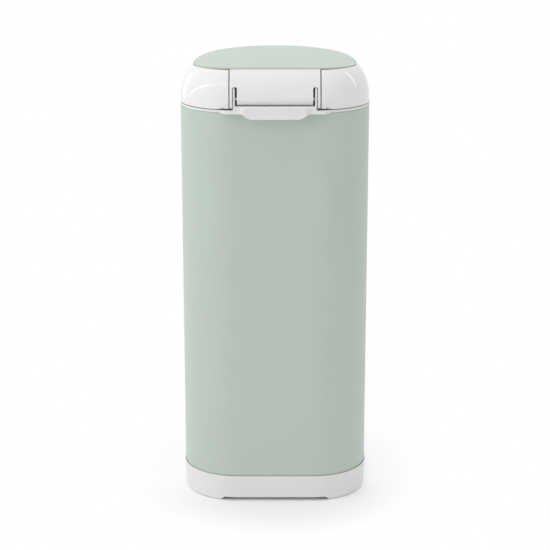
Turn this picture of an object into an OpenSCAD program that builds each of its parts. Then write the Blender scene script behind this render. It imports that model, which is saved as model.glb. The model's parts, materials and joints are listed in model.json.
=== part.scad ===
// Pedal nappy bin: a steel sleeve on a moulded base, a domed head that tips back,
// and a pedal-worked lid that shares the head's hinge pin. Millimetres, +Z up,
// front = -Y, origin on the floor under the middle of the body.

/* [Body] */
// Width of the sleeve
body_w = 245; // [225:1:270]
// Depth of the sleeve, front bow to flat back
body_d = 252; // [245:1:285]
// Corner radius at the back
rear_r = 71.5; // [60:0.5:80]
// Radius of each side's gentle curve, which runs tangent into the bowed front
side_r = 240; // [200:5:300]
// Where that curve starts, back from the middle
side_from = 34; // [20:1:40]
// Height of the base band
base_h = 36.5; // [34:0.5:45]
// Height of the sleeve that shows between base and collar
sleeve_h = 490.7; // [350:0.1:600]
// Thickness of the sleeve's steel
sleeve_t = 0.9; // [0.6:0.1:1.5]

/* [Base] */
// How far the base band's top edge stands proud of the sleeve
base_proud = 1.4; // [1.2:0.1:3]
// How much the base band narrows towards the floor
base_draft = 2.3; // [0:0.1:4]
// Gap under the base band's bottom edge
base_lift = 0.8; // [0.4:0.1:1.5]
// Thickness of the base's inner wall, measured in from the sleeve
base_wall = 2.6; // [2:0.1:4]
// How deep the sleeve sits in the base's groove
groove_deep = 6; // [3:0.5:6.5]
// Height of the rubber feet, which carry the base's web
foot_h = 5; // [4.9:0.1:6]
// Radius of the rubber feet
foot_r = 11; // [8:0.5:13]
// Thickness of the base's web and of the mechanism cover
web_t = 2; // [1.5:0.1:2.5]
// Width of the relief in the back bottom edge
relief_w = 147; // [100:1:160]
// Height of the relief in the back bottom edge
relief_h = 4.7; // [3:0.1:4.8]

/* [Collar] */
// Height of the collar band over the sleeve's edge
collar_h = 3.8; // [3:0.1:5]
// How far the collar band stands proud of the sleeve
collar_proud = 0.5; // [0.2:0.1:1.3]
// How far the collar reaches in over the opening
collar_in = 9; // [7:0.5:12]
// Depth of the collar's skirt inside the sleeve
collar_skirt = 20; // [12:1:30]
// Width of the ledge behind the hinge
ledge_w = 136; // [132:1:144]
// How far the ledge stands out behind the sleeve
ledge_out = 7; // [5:0.5:9]
// How far the hanging tab stands out behind the sleeve
tab_out = 10.5; // [9.5:0.1:12]
// Width of the tab at its bottom
tab_w = 64; // [50:1:78]
// How far the tab hangs below the collar
tab_drop = 6.5; // [4:0.5:12]

/* [Hinge] */
// Hinge pin height above the collar's top
hinge_up = 13.3; // [13:0.1:16]
// Hinge pin distance in from the flat back
hinge_in = 8; // [8:0.1:10]
// Diameter of the hinge pin
pin_d = 5; // [4:0.1:6]
// Running clearance of a pin in its bore, on the radius
pin_fit = 0.06; // [0.02:0.01:0.1]
// Half width of the lid's hinge block
block_x = 57.3; // [56.5:0.1:60]
// Gap between the lid's hinge block and the head
seam = 1.2; // [0.8:0.1:2]
// Half width of the hinge barrel
barrel_x = 48; // [40:0.5:49]
// Inner face of the collar's hinge ears, from the middle
ear_x = 50.4; // [50:0.1:51]
// Thickness of the hinge ears
ear_t = 3; // [2:0.1:3.2]
// Thickness of the head's hinge knuckles
knuckle_t = 6; // [4:0.5:8]

/* [Head] */
// Gap between the collar and the head
head_gap = 1; // [0.6:0.1:1.3]
// Height of the straight lower edge of the head
head_straight = 6.2; // [4:0.1:8]
// Height of the curve's full quarter, from its straight edge
dome_b = 45.5; // [42:0.5:50]
// Depth of the curve's full quarter, in from the side
dome_a = 30; // [26:0.5:32]
// Where the head's curve stops, in degrees of its quarter
dome_end = 62.5; // [57:0.1:65]
// Wall of the head
head_t = 2.6; // [2:0.1:3]
// Radius of the throw-in mouth
mouth_r = 72; // [68:0.5:74]
// Mouth centre, forward of the middle
mouth_fwd = 12; // [8:0.5:18]
// Radius of the chute below the mouth
chute_r = 58; // [56.5:0.5:59]
// Wall of the chute
chute_t = 2; // [1.5:0.1:2.3]
// Height of the film cassette
cassette_h = 24; // [16:1:25]
// Radial width of the film cassette
cassette_w = 21; // [15:1:24]

/* [Clamp] */
// Height of the clamp housing below its flange
clamp_h = 34; // [30:1:45]
// Half width of the clamp housing, across the jaws
clamp_x = 58; // [56:0.5:60]
// Half depth of the clamp housing, along the jaws
clamp_y = 46; // [40:0.5:50]
// Thickness of the jaws
jaw_t = 3; // [2:0.1:4]
// Radius of the jaw pins
jaw_pin_r = 2; // [1.5:0.1:2.5]

/* [Lid] */
// Width of the rim round the lid panel
rim_w = 0.9; // [0.6:0.1:2]
// Gap between the rim and the lid panel's edge
lid_gap = 1; // [0.8:0.1:1.5]
// Height of the panel's edge above the head's rim, at the back
lid_up = 3.2; // [3:0.1:5]
// Rise of the panel's crown
crown = 4.5; // [2:0.1:6]
// Thickness of the lid panel
panel_t = 1.2; // [0.8:0.1:1.6]
// Thickness of the lid frame's plate
frame_t = 2.2; // [1.6:0.1:2.6]
// Radius of the liner's bowl, which hangs in the chute
liner_r = 54; // [50:0.5:55]
// Depth of the liner's bowl below its flange
liner_h = 17; // [14:0.5:19]
// Radius of the odour filter
filter_r = 44; // [36:1:47]
// Lid opening, in degrees
lid_open = 78; // [60:1:78]

/* [Pedal and rod] */
// Base radius of the lift arm's involute: rod to hinge pin
lift_r = 18; // [18:0.1:20]
// Diameter of the push rod
rod_d = 6; // [5:0.1:7]
// Pedal pivot, forward of the middle
pivot_fwd = 42; // [36:1:50]
// Pedal pivot height above the floor
pivot_z = 19; // [18.5:0.1:20]
// Half width of the pedal pad
pad_x = 34; // [26:1:36]
// Thickness of the pedal pad
pad_t = 7; // [5:0.1:7]
// Thickness of the pedal lever
lever_t = 4; // [3:0.1:5]
// Half width of the pedal lever
lever_x = 9; // [7:0.5:10]

/* [Hidden] */
$fn = 64;

sage = "#bccabd";
white = "#e6e7e6";
dark = "#6f7471";
steel = "#b9bcbe";

eps = 0.01;           // overlap that keeps a cut from ending flush with a face
seat = 0.3;           // gap between pieces that rest on each other across a joint
slip = 0.1;           // gap between pieces that slide together in assembly

half_w = body_w / 2;
half_d = body_d / 2;

// The plan: two back corners, two gently curved sides and a bow that runs tangent into them.
// The bow's centre follows from its distance to a side's centre, which is side_r less its own radius
rear_c = [half_w - rear_r, half_d - rear_r];
front_c = [half_w - side_r, side_from];
bow_c = [0, (pow(side_r - half_w, 2) + pow(side_from, 2) - pow(side_r - half_d, 2)) / 2 / (side_from - side_r + half_d)];
bow_r = bow_c.y + half_d;
front_turn = atan2(side_from - bow_c.y, side_r - half_w);   // how far a side turns
arc_step = 6;         // degrees between the points of an arc

base_top = base_h;
sleeve_top = base_top + sleeve_h;
groove_z = base_top - groove_deep;
rim_in = sleeve_t + slip;              // outer face of what stands inside the sleeve
cover_z = base_top - web_t;            // underside of the mechanism cover
collar_top = sleeve_top + collar_h;
axis_y = half_d - hinge_in;
axis_z = collar_top + hinge_up;
pin_r = pin_d / 2;
bore_r = pin_r + pin_fit;
barrel_r = hinge_in;
swing_r = hinge_up - seat;             // nothing on the head or lid reaches lower past the pin
knuckle_x = block_x + seam;
pin_end = knuckle_x + knuckle_t - 1;
ear_r = 15;                            // the hinge ears reach this far from the pin
ear_gap = 1.2;                         // and their slots in the lid's hinge block this much further
cheek_r = swing_r - seat;              // the hinge block's cheeks under the pin

head_bottom = collar_top + head_gap;
curve_z = head_bottom + head_straight;
function dome_in(t) = dome_a * (1 - cos(t));
function dome_z(t) = curve_z + dome_b * sin(t);
rim_z = dome_z(dome_end);
rim_in_edge = dome_in(dome_end) + rim_w;
lid_inset = rim_in_edge + lid_gap;     // inset of the lid panel's edge from the sleeve
lip_drop = 7.8;                        // the rim's inner lip reaches this far down
flange_z = rim_z - lip_drop - seat;    // top of the chute's flange
flange_t = 2;
chute_c = [0, -mouth_fwd];

panel_z = rim_z + lid_up;              // panel edge at the middle of the back
side_fall = 1.4;                       // the panel's edge falls this much to the sides
front_fall = 2.2;                      // and this much to the front
skin_gap = 0.1;

housing_top = collar_top + 2.2;        // underside of the clamp housing's flange
housing_flange_t = 2.5;
cassette_z = housing_top + housing_flange_t + slip;
clamp_bottom = housing_top - clamp_h;
jaw_z = clamp_bottom + 18;             // jaw pins
jaw_pin_x = clamp_x - 9;
jaw_arm = jaw_pin_x - 1;               // reach of a jaw to its lip

rod_y = axis_y - lift_r;
rod_r = rod_d / 2;
rod_tip = 1.2;                         // rod's top above the hinge pin
lid_rad = lid_open * PI / 180;
rod_travel = lift_r * lid_rad;
pivot_y = -pivot_fwd;
rear_arm = rod_y - pivot_y;
// The pedal turns 2 * atan(rod_travel / 2 / rear_arm): it is level halfway, so both ends match the rod
lever_rear_z = pivot_z - rod_travel / 2;
roller_r = lever_t / 2 + 2;            // knob on the lever's rear end that lifts the rod
foot_face = lever_rear_z + roller_r + seat;
pedal_pin_r = 3;
pedal_bore_r = pedal_pin_r + pin_fit;
pad_y = -half_d - tab_out;             // front of the pedal pad
pad_back = -half_d + 17;
pad_z = pivot_z + 0.5;
arch_x = pad_x + 3;
arch_z = pad_z + pad_t + 3;

function arc(c, r, a0, a1, skip = 0) =
    let (n = 2 * max(1, round(abs(a1 - a0) / arc_step / 2)))
    [for (i = [skip : n - skip]) let (a = a0 + (a1 - a0) * i / n) c + r * [cos(a), sin(a)]];

// The body's outline, drawn in by s from the sleeve's outer face
function plan(s) = concat(
    arc(rear_c, rear_r - s, 0, 90),
    arc([-rear_c.x, rear_c.y], rear_r - s, 90, 180),
    arc([-front_c.x, front_c.y], side_r - s, 180, 180 + front_turn),
    arc(bow_c, bow_r - s, 180 + front_turn, 360 - front_turn, 1),
    arc(front_c, side_r - s, 360 - front_turn, 360));
plan_n = len(plan(0));

// Quads of a skin over rows of points, as triangles
function skin(rows, n, wrap) =
    [for (i = [0 : rows - (wrap ? 1 : 2)]) for (j = [0 : n - 1])
        let (k = (i + 1) % rows, l = (j + 1) % n, a = i * n + j, b = i * n + l, c = k * n + l, d = k * n + j)
        each [[a, d, b], [b, d, c]]];

// A ring round the body whose section is the list of [inset, z] stations
module band(stations) {
    polyhedron(points = [for (q = stations) for (p = plan(q[0])) [p.x, p.y, q[1]]],
        faces = skin(len(stations), plan_n, true));
}

// A straight wall round the body between two insets
module wall(s0, s1, z0, z1) {
    translate([0, 0, z0]) linear_extrude(z1 - z0) difference() {
        polygon(plan(s0));
        polygon(plan(s1));
    }
}

// A plate with the body's outline
module plate(s, z0, z1) {
    translate([0, 0, z0]) linear_extrude(z1 - z0) polygon(plan(s));
}

// Rows of the lid's crowned surface, from its edge to near its middle
crown_rows = [1, 0.93, 0.8, 0.6, 0.4, 0.2];
crown_c = [0, 0];
function lid_height(p, t) = panel_z - side_fall * pow(p.x / (half_w - lid_inset), 2)
    - front_fall * (half_d - lid_inset - p.y) / (body_d - 2 * lid_inset) + crown * (1 - t * t);
function crown_points(s, drop) = concat(
    [for (t = crown_rows) for (p = plan(s)) let (q = crown_c + t * (p - crown_c)) [q.x, q.y, lid_height(q, t) - drop]],
    [[crown_c.x, crown_c.y, lid_height(crown_c, 0) - drop]]);
crown_n = len(crown_rows) * plan_n;
function fan(first, top) = [for (j = [0 : plan_n - 1]) let (a = first + j, b = first + (j + 1) % plan_n) [b, a, top]];
function flip(faces, by) = [for (f = faces) [f[2] + by, f[1] + by, f[0] + by]];

// A crowned sheet of even thickness
module crown_sheet(s, drop, t) {
    m = crown_n + 1;
    top = concat(skin(len(crown_rows), plan_n, false), fan(crown_n - plan_n, crown_n));
    polyhedron(points = concat(crown_points(s, drop), crown_points(s, drop + t)),
        faces = concat(top, flip(top, m),
            [for (j = [0 : plan_n - 1]) let (k = (j + 1) % plan_n) each [[j, k, m + j], [k, m + k, m + j]]]));
}

// What lies under a crowned surface, down to a level
module crown_block(s, drop, z0) {
    m = crown_n + 1;
    top = concat(skin(len(crown_rows), plan_n, false), fan(crown_n - plan_n, crown_n));
    polyhedron(points = concat(crown_points(s, drop), [for (p = plan(s)) [p.x, p.y, z0]]),
        faces = concat(top, [[for (j = [0 : plan_n - 1]) m + j]],
            [for (j = [0 : plan_n - 1]) let (k = (j + 1) % plan_n) each [[j, k, m + j], [k, m + k, m + j]]]));
}

// A cylinder along X or Y, centred on its place
module along_x(p, r, l) { translate(p) rotate([0, 90, 0]) cylinder(r = r, h = l, center = true); }
module along_y(p, r, l) { translate(p) rotate([90, 0, 0]) cylinder(r = r, h = l, center = true); }

// A shape drawn in Y and Z, extruded across X and centred
module across(x0, x1) {
    translate([x0, 0, 0]) rotate([90, 0, 90]) linear_extrude(x1 - x0) children();
}

module mirrored() { children(); mirror([1, 0, 0]) children(); }

function ring_places(r, n, a0) = [for (i = [0 : n - 1]) chute_c + r * [cos(a0 + 360 * i / n), sin(a0 + 360 * i / n)]];

// A pan-head screw that points up: its head's flat face is at z
module screw(p, z, r, l, head_r, head_h) {
    translate([p.x, p.y, z - head_h]) cylinder(r = head_r, h = head_h);
    translate([p.x, p.y, z - eps]) cylinder(r = r, h = l);
}

// ---- Pail ----

module body_sleeve() color(sage) wall(0, sleeve_t, groove_z, sleeve_top);

post_at = [85, 62];                    // posts that carry the mechanism cover
foot_at = [78, 78];                    // rubber feet, at the back; the front pair stands further in
foot_front = [58, -82];
post_r = 5;
screw_r = 1.5;
ear_in = 14;                           // inner face of the base's pedal ears
ear_w = 4;
web_z = foot_h;
slot_x = lever_x + 4;                  // slot in the web under the lever

module foot_places() {
    for (p = [foot_at, [foot_front.x, foot_front.y]]) for (side = [-1, 1]) translate([side * p.x, p.y, 0]) children();
}

module base_moulding() color(white) difference() {
    union() {
        band([[base_draft - base_proud, base_lift], [-base_proud, base_top - 0.6], [-base_proud + 0.6, base_top],
            [-slip, base_top], [-slip, groove_z], [rim_in, groove_z], [rim_in, cover_z],
            [rim_in + base_wall, cover_z], [rim_in + base_wall, base_lift]]);
        difference() {
            plate(rim_in + base_wall - 0.5, web_z, web_z + web_t);
            translate([-slot_x, pad_back - 10, 0]) cube([2 * slot_x, rod_y + 12 - pad_back + 10, base_h]);
        }
        for (p = [post_at, [post_at.x, -post_at.y]]) for (side = [-1, 1])
            translate([side * p.x, p.y, web_z]) cylinder(r = post_r, h = cover_z - web_z);
        for (side = [-1, 1]) translate([side * (ear_in + ear_w / 2) - ear_w / 2, pivot_y - 8, web_z])
            cube([ear_w, 16, pivot_z + 7 - web_z]);
    }
    // arch in front for the pedal
    translate([-arch_x, -half_d - 10, -1]) cube([2 * arch_x, 34, arch_z + 1]);
    // relief under the back
    translate([0, half_d - 20, 0]) rotate([-90, 0, 0]) linear_extrude(30)
        polygon([[-relief_w / 2, 1], [relief_w / 2, 1], [relief_w / 2 - 5, -relief_h], [5 - relief_w / 2, -relief_h]]);
    along_x([0, pivot_y, pivot_z], pedal_bore_r, 60);
    for (p = [post_at, [post_at.x, -post_at.y]]) for (side = [-1, 1])
        translate([side * p.x, p.y, cover_z - 14]) cylinder(r = screw_r + 0.05, h = 20);
}

tower_r = 10;
tower_h = 26;
foot_pad_r = 7;                        // rod foot

module mechanism_cover() color(white) difference() {
    union() {
        plate(rim_in, cover_z, base_top);
        translate([0, rod_y, cover_z]) cylinder(r = tower_r, h = web_t + tower_h);
    }
    translate([0, rod_y, cover_z - 1]) cylinder(r = tower_r - 2, h = tower_h + web_t + 2);
    for (y = [-1, 1]) for (x = [-1, 1])
        translate([x * post_at.x, y * post_at.y, cover_z - 1]) cylinder(r = screw_r + 0.2, h = web_t + 2);
}

module foot_pads() color(dark) foot_places() cylinder(r = foot_r, h = web_z);

module base_screws() color(steel) for (y = [-1, 1]) for (x = [-1, 1]) translate([x * post_at.x, y * post_at.y, 0]) {
    translate([0, 0, base_top - 12]) cylinder(r = screw_r, h = 12 + eps);
    translate([0, 0, base_top]) cylinder(r = 3, h = 1.8);
}

ledge_front = half_d - 17;             // front of the block under the hinge
ledge_under = 4;                       // how far that block reaches down inside the sleeve

// The ledge behind the hinge, in Y and Z
module ledge_shape(top) polygon([[ledge_front, sleeve_top], [half_d + ledge_out - 1.5, sleeve_top],
    [half_d + ledge_out, sleeve_top + 1.5], [half_d + ledge_out, top], [ledge_front, top]]);

// An ear: a disc round the pin, trimmed under the head's curve, on a foot in the ledge
module hinge_ear() {
    intersection() {
        along_x([ear_x + ear_t / 2, axis_y, axis_z], ear_r, ear_t);
        across(ear_x - 1, ear_x + ear_t + 1) polygon(concat([[axis_y - 2 * ear_r, collar_top], [half_d - seat, collar_top]],
            [for (t = block_steps) outer(t) - [seat, 0]], [[axis_y - 2 * ear_r, outer(dome_end).y]]));
    }
    across(ear_x, ear_x + ear_t) polygon([[ledge_front + 1, sleeve_top + 1], [half_d - seat, sleeve_top + 1],
        [half_d - seat, axis_z], [ledge_front + 1, axis_z]]);
}

module collar() color(white) difference() {
    union() {
        wall(-collar_proud, collar_in, sleeve_top, collar_top);
        wall(rim_in, rim_in + 2.2, sleeve_top - collar_skirt, sleeve_top + 1);
        intersection() {
            plate(rim_in + 0.5, sleeve_top - ledge_under, sleeve_top + 1);
            translate([-ledge_w / 2, ledge_front, 0]) cube([ledge_w, 30, sleeve_top + 10]);
        }
        across(-ledge_w / 2, ledge_w / 2) ledge_shape(collar_top - seat);
        across(-barrel_x - 4, barrel_x + 4) ledge_shape(axis_z - barrel_r - 0.4);
        // hanging tab
        translate([0, half_d + tab_out, 0]) rotate([90, 0, 0]) linear_extrude(tab_out - seat) polygon([
            [-tab_w / 2 - 9, sleeve_top + 1], [-tab_w / 2, sleeve_top - tab_drop], [tab_w / 2, sleeve_top - tab_drop],
            [tab_w / 2 + 9, sleeve_top + 1], [tab_w / 2 + 9, sleeve_top + 2.5], [-tab_w / 2 - 9, sleeve_top + 2.5]]);
        mirrored() hinge_ear();
    }
    along_x([0, axis_y, axis_z], bore_r, 2 * (ear_x + ear_t) + 1);
}

guides = 3;                            // push-rod guides, evenly spaced up the sleeve
guide_h = 10;
guide_wall = 3;
guide_web = 4;
guide_plate = [28, 2.5, 18];           // the plate on the sleeve: width, thickness, height
rod_gap = 0.08;
module rod_guides() color(white) for (i = [0.5 : guides]) translate([0, 0, base_top + i * sleeve_h / guides]) difference() {
    union() {
        translate([0, rod_y, 0]) cylinder(r = rod_r + guide_wall, h = guide_h);
        translate([-guide_web / 2, rod_y, 0]) cube([guide_web, half_d - sleeve_t - rod_y - guide_plate[1] / 2, guide_h]);
        translate([-guide_plate[0] / 2, half_d - sleeve_t - guide_plate[1], (guide_h - guide_plate[2]) / 2]) cube(guide_plate);
    }
    translate([0, rod_y, -eps]) cylinder(r = rod_r + rod_gap, h = guide_h + 2 * eps);
}

module hinge_pin() color(steel) along_x([0, axis_y, axis_z], pin_r, 2 * pin_end);

module pedal_pin() color(steel) along_x([0, pivot_y, pivot_z], pedal_pin_r, 2 * (ear_in + ear_w) + 4);

module pedal_spring() color(steel) mirrored() difference() {
    along_x([ear_in - 1.8, pivot_y, pivot_z], 5, 3);
    along_x([ear_in - 1.8, pivot_y, pivot_z], pedal_pin_r + 0.3, 5);
}

// ---- Pedal and push rod ----

module pedal_lever() color(steel) difference() {
    union() {
        across(-lever_x, lever_x) polygon([[pad_y + 12, pad_z + pad_t - 1 - lever_t], [pad_y + 12, pad_z + pad_t - 1],
            [pivot_y, pivot_z + lever_t], [rod_y + 6, lever_rear_z + lever_t / 2], [rod_y + 6, lever_rear_z - lever_t / 2],
            [pivot_y, pivot_z - lever_t]]);
        along_x([0, pivot_y, pivot_z], pedal_pin_r + 3, 2 * (ear_in - 3.6));
        along_x([0, rod_y, lever_rear_z], roller_r, foot_pad_r);
    }
    along_x([0, pivot_y, pivot_z], pedal_bore_r, 60);
}

module pedal_pad() color(white) difference() {
    translate([0, 0, pad_z]) linear_extrude(pad_t) intersection() {
        polygon(plan(-tab_out));
        translate([-pad_x, pad_y - 1]) square([2 * pad_x, pad_back - pad_y + 1]);
    }
    // pocket for the lever's end
    across(-lever_x - seat / 3, lever_x + seat / 3) polygon([[pad_y + 12 - slip, pad_z - 1],
        [pad_y + 12 - slip, pad_z + pad_t - 1 + slip], [pad_back + 1, pad_z + pad_t - 1 + slip], [pad_back + 1, pad_z - 1]]);
}

module push_rod() color(steel) translate([0, rod_y, foot_face + 4]) cylinder(r = rod_r, h = axis_z + rod_tip - 6 - foot_face - 4);

module rod_cap() color(dark) translate([0, rod_y, axis_z + rod_tip]) difference() {
    union() {
        translate([0, 0, -4]) sphere(r = 4);
        translate([0, 0, -14]) cylinder(r = 4, h = 10);
    }
    translate([0, 0, -15]) cylinder(r = rod_r, h = 9);
}

module rod_foot() color(dark) translate([0, rod_y, foot_face]) difference() {
    cylinder(r = foot_pad_r, h = 10);
    translate([0, 0, 4]) cylinder(r = rod_r, h = 7);
}

// ---- Lid ----

module lid_panel() color(sage) crown_sheet(lid_inset, 0, panel_t);

frame_drop = panel_t + skin_gap;
seal_h = 2;
liner_flange_t = 1.5;
liner_flange_r = 82;
liner_under = flange_z + seat + seal_h;       // underside of the liner's flange
liner_top = liner_under + liner_flange_t;
liner_bottom = liner_under - liner_h;
lid_screw_r = 68;                              // circle that the lid screws stand on
block_top = panel_z - side_fall * pow(block_x / (half_w - lid_inset), 2) - panel_t - skin_gap;   // just under the panel
block_front = axis_y - 31;
web_in = 5;                                    // thickness of the hinge block's outer wall
slot_w = 6;                                    // slots for the collar's ears, outside the barrel
function outer(t) = [half_d - dome_in(t), dome_z(t)];
function inner(t) = outer(t) - web_in * [cos(t), sin(t)];
block_steps = [8 : 8 : dome_end];

// The hinge block's curved outer wall, in Y and Z
module block_wall() polygon(concat([[axis_y, axis_z]], [for (t = block_steps) outer(t)],
    [outer(dome_end), [half_d - lid_inset + skin_gap, block_top], [block_front, block_top], [block_front, block_top - 4],
    [inner(dome_end).x, block_top - 4]], [for (i = [len([for (t = block_steps) t]) - 1 : -1 : 1]) inner(block_steps[0] + 8 * i)],
    [[axis_y - barrel_r + 1, axis_z + 8]]));

// A cheek that closes the hinge block's side
module cheek() {
    intersection() {
        along_x([(barrel_x + slot_w + block_x) / 2, axis_y, axis_z], cheek_r, block_x - barrel_x - slot_w);
        translate([barrel_x, axis_y - body_w, axis_z - body_w]) cube([body_w, body_w + half_d - seat - axis_y, body_w]);
    }
    across(barrel_x + slot_w, block_x) polygon(concat([[axis_y - cheek_r + 0.5, axis_z - 1], [half_d - seat, axis_z - 1]],
        [for (t = block_steps) outer(t)], [outer(dome_end), [half_d - lid_inset + skin_gap, block_top],
        [axis_y - 16, block_top], [axis_y - 16, axis_z + 18]]));
}

// The face that the push rod lifts: an involute of a circle of radius lift_r round the pin,
// so the rod's rise is lift_r times the lid's turn
function flank(a) = let (z = rod_tip + seat + lift_r * a * PI / 180)
    [axis_y - lift_r * cos(a) - z * sin(a), axis_z - lift_r * sin(a) + z * cos(a)];
arm_x = 4;
arm_root = [17, 15];                   // the arm's reach in front of the base circle, low and high
module lift_arm() across(-arm_x, arm_x) polygon(concat([[axis_y - 6, axis_z + rod_tip + seat]],
    [for (a = [0 : 6 : lid_open]) flank(a)], [flank(lid_open), flank(lid_open) - [4, 0],
    [axis_y - lift_r - arm_root[0], axis_z], [axis_y - lift_r - arm_root[1], block_top - 1],
    [half_d - lid_inset - 2, block_top - 1], [axis_y - 6, block_top - 14]]));

module lid_frame() color(white) difference() {
    union() {
        difference() {
            crown_sheet(lid_inset + 0.4, frame_drop, frame_t);
            mirrored() translate([block_x, axis_y - 25, 0]) cube([body_w, 60, panel_z + 20]);
        }
        intersection() {
            crown_block(lid_inset + 1, frame_drop + 1, liner_top);
            translate([chute_c.x, chute_c.y, liner_top]) union() {
                difference() {
                    cylinder(r = liner_flange_r, h = 20);
                    translate([0, 0, -1]) cylinder(r = liner_flange_r - 2.5, h = 22);
                }
                for (p = ring_places(lid_screw_r, 4, 45)) translate([p.x - chute_c.x, p.y - chute_c.y, 0]) cylinder(r = 4, h = 20);
            }
        }
        difference() {
            union() {
                across(-block_x, block_x) block_wall();
                mirrored() cheek();
                along_x([0, axis_y, axis_z], barrel_r, 2 * barrel_x);
            }
            // slots that the collar's ears stand in
            mirrored() along_x([barrel_x + slot_w / 2, axis_y, axis_z], ear_r + ear_gap, slot_w);
        }
        lift_arm();
    }
    along_x([0, axis_y, axis_z], bore_r, 2 * block_x + 1);
    for (p = ring_places(lid_screw_r, 4, 45)) translate([p.x, p.y, liner_top - 1]) cylinder(r = screw_r + 0.05, h = 4.2);
}

module lid_liner() color(white) translate([chute_c.x, chute_c.y, 0]) difference() {
    rotate_extrude() polygon([[liner_flange_r, liner_under], [liner_flange_r, liner_top], [liner_r - 2, liner_top],
        [liner_r - 2, liner_bottom + 1.5], [filter_r - 4, liner_bottom + 1.5], [filter_r - 4, liner_bottom],
        [liner_r, liner_bottom], [liner_r, liner_under]]);
    for (p = ring_places(lid_screw_r, 4, 45)) translate([p.x - chute_c.x, p.y - chute_c.y, liner_under - 1])
        cylinder(r = screw_r + 0.2, h = 4);
}

module lid_seal() color(dark) translate([chute_c.x, chute_c.y, flange_z + seat]) difference() {
    cylinder(r = liner_flange_r - 2, h = seal_h);
    translate([0, 0, -1]) cylinder(r = mouth_r + 2, h = seal_h + 2);
}

module filter_cartridge() color("#4a4d4b") translate([chute_c.x, chute_c.y, liner_bottom + 1.5])
    cylinder(r = filter_r, h = liner_h - 5);

module filter_cover() color(white) translate([chute_c.x, chute_c.y, liner_bottom - 1.8]) difference() {
    union() {
        cylinder(r = filter_r + 2, h = 1.8);
        cylinder(r = filter_r - 4 - slip, h = 1.8 + 1.5 - slip);
    }
    for (ring = [[14, 6], [25, 12]]) for (i = [1 : ring[1]]) rotate([0, 0, 360 * i / ring[1]])
        translate([ring[0], 0, -1]) cylinder(r = 3, h = 6);
}

module lid_screws() color(steel) for (p = ring_places(lid_screw_r, 4, 45)) screw(p, liner_under, screw_r, liner_flange_t + 2.6, 3, 1.6);

// ---- Head ----

rim_mid = lid_inset - 2.9;             // middle of the rim's lip
head_screw_r = 1.2;
head_screw_at = concat([for (side = [-1, 1]) [side * (half_w - rim_mid), side_from + 6]],
    [for (side = [-1, 1]) let (q = front_c + (side_r - rim_mid) * [cos(11), -sin(11)]) [side * q.x, q.y]],
    [for (a = [-16, 16]) bow_c + (bow_r - rim_mid) * [sin(a), -cos(a)]]);
button_x = 16;
button_z = [head_bottom + 5, head_bottom + 17];
button_out = 1;
button_gap = 0.4;

module head_dome() color(white) difference() {
    union() {
        difference() {
            band(concat([[0.6, head_bottom], [0, head_bottom + 0.8], [0, curve_z]],
                [for (t = [8 : 8 : dome_end]) [dome_in(t), dome_z(t)]],
                [[dome_in(dome_end), rim_z], [rim_in_edge - rim_w / 2, rim_z + 0.4], [rim_in_edge, rim_z],
                [rim_in_edge, rim_z - lip_drop], [rim_in_edge - 3.8, rim_z - lip_drop]],
                [for (t = [46 : -8 : 0]) [dome_in(t) + head_t * cos(t), dome_z(t) - head_t * sin(t)]],
                [[head_t, head_bottom]]));
            translate([-knuckle_x, axis_y - 30, head_bottom - 5]) cube([2 * knuckle_x, 60, 80]);
        }
        mirrored() across(knuckle_x, knuckle_x + knuckle_t) polygon(concat(
            [[axis_y - 14, head_bottom], [half_d - head_t / 2, head_bottom], [half_d - head_t / 2, curve_z]],
            [for (t = [8 : 8 : 48]) [half_d - dome_in(t) - head_t / 2, dome_z(t) - head_t / 4]],
            [[axis_y - 14, dome_z(48) - head_t / 4]]));
    }
    // room to turn past the collar
    difference() {
        translate([-ledge_w / 2 - 20, axis_y, head_bottom - 1]) cube([ledge_w + 40, 30, axis_z - head_bottom + 1]);
        along_x([0, axis_y, axis_z], swing_r, body_w);
    }
    along_x([0, axis_y, axis_z], bore_r, 2 * (knuckle_x + knuckle_t) + 1);
    for (p = head_screw_at) translate([p.x, p.y, rim_z - lip_drop - 1]) cylinder(r = head_screw_r + 0.05, h = 5);
    translate([-button_x - button_gap, -half_d - 5, button_z[0] - button_gap])
        cube([2 * (button_x + button_gap), 15, button_z[1] - button_z[0] + 2 * button_gap]);
}

post_ring_r = 88;                      // posts between the chute's flange and the clamp housing
chute_bottom = housing_top + housing_flange_t;
funnel_z = cassette_z + cassette_h + 0.5;
bracket_in = 22;                       // from the front of the plan to the face that the release spring pushes on
bracket_y = -half_d + bracket_in;

module head_chute() color(white) difference() {
    union() {
        difference() {
            plate(rim_in_edge - 3.6, flange_z - flange_t, flange_z);
            translate([chute_c.x, chute_c.y, flange_z - 5]) cylinder(r = mouth_r, h = 10);
            translate([-knuckle_x - knuckle_t - 1, axis_y - 37, flange_z - 5]) cube([2 * (knuckle_x + knuckle_t + 1), 60, 10]);
        }
        translate([chute_c.x, chute_c.y, 0]) rotate_extrude() polygon([[mouth_r, flange_z], [mouth_r + chute_t, flange_z],
            [mouth_r + chute_t, flange_z - flange_t], [chute_r + chute_t, funnel_z], [chute_r + chute_t, chute_bottom],
            [chute_r, chute_bottom], [chute_r, funnel_z], [mouth_r, flange_z - flange_t]]);
        for (p = ring_places(post_ring_r, 4, 45)) translate([p.x, p.y, chute_bottom]) cylinder(r = 4, h = flange_z - 1 - chute_bottom);
        translate([-9, bracket_y, button_z[0] - 1]) cube([18, 2.5, flange_z - 1 - button_z[0] + 1]);
    }
    for (p = head_screw_at) translate([p.x, p.y, flange_z - 5]) cylinder(r = head_screw_r + 0.15, h = 10);
    for (p = ring_places(post_ring_r, 4, 45)) translate([p.x, p.y, chute_bottom - 1]) cylinder(r = screw_r + 0.05, h = 11);
}

module head_screws() color(steel) for (p = head_screw_at) screw(p, flange_z - flange_t, head_screw_r, flange_t + 4, 2, 1.4);

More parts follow.
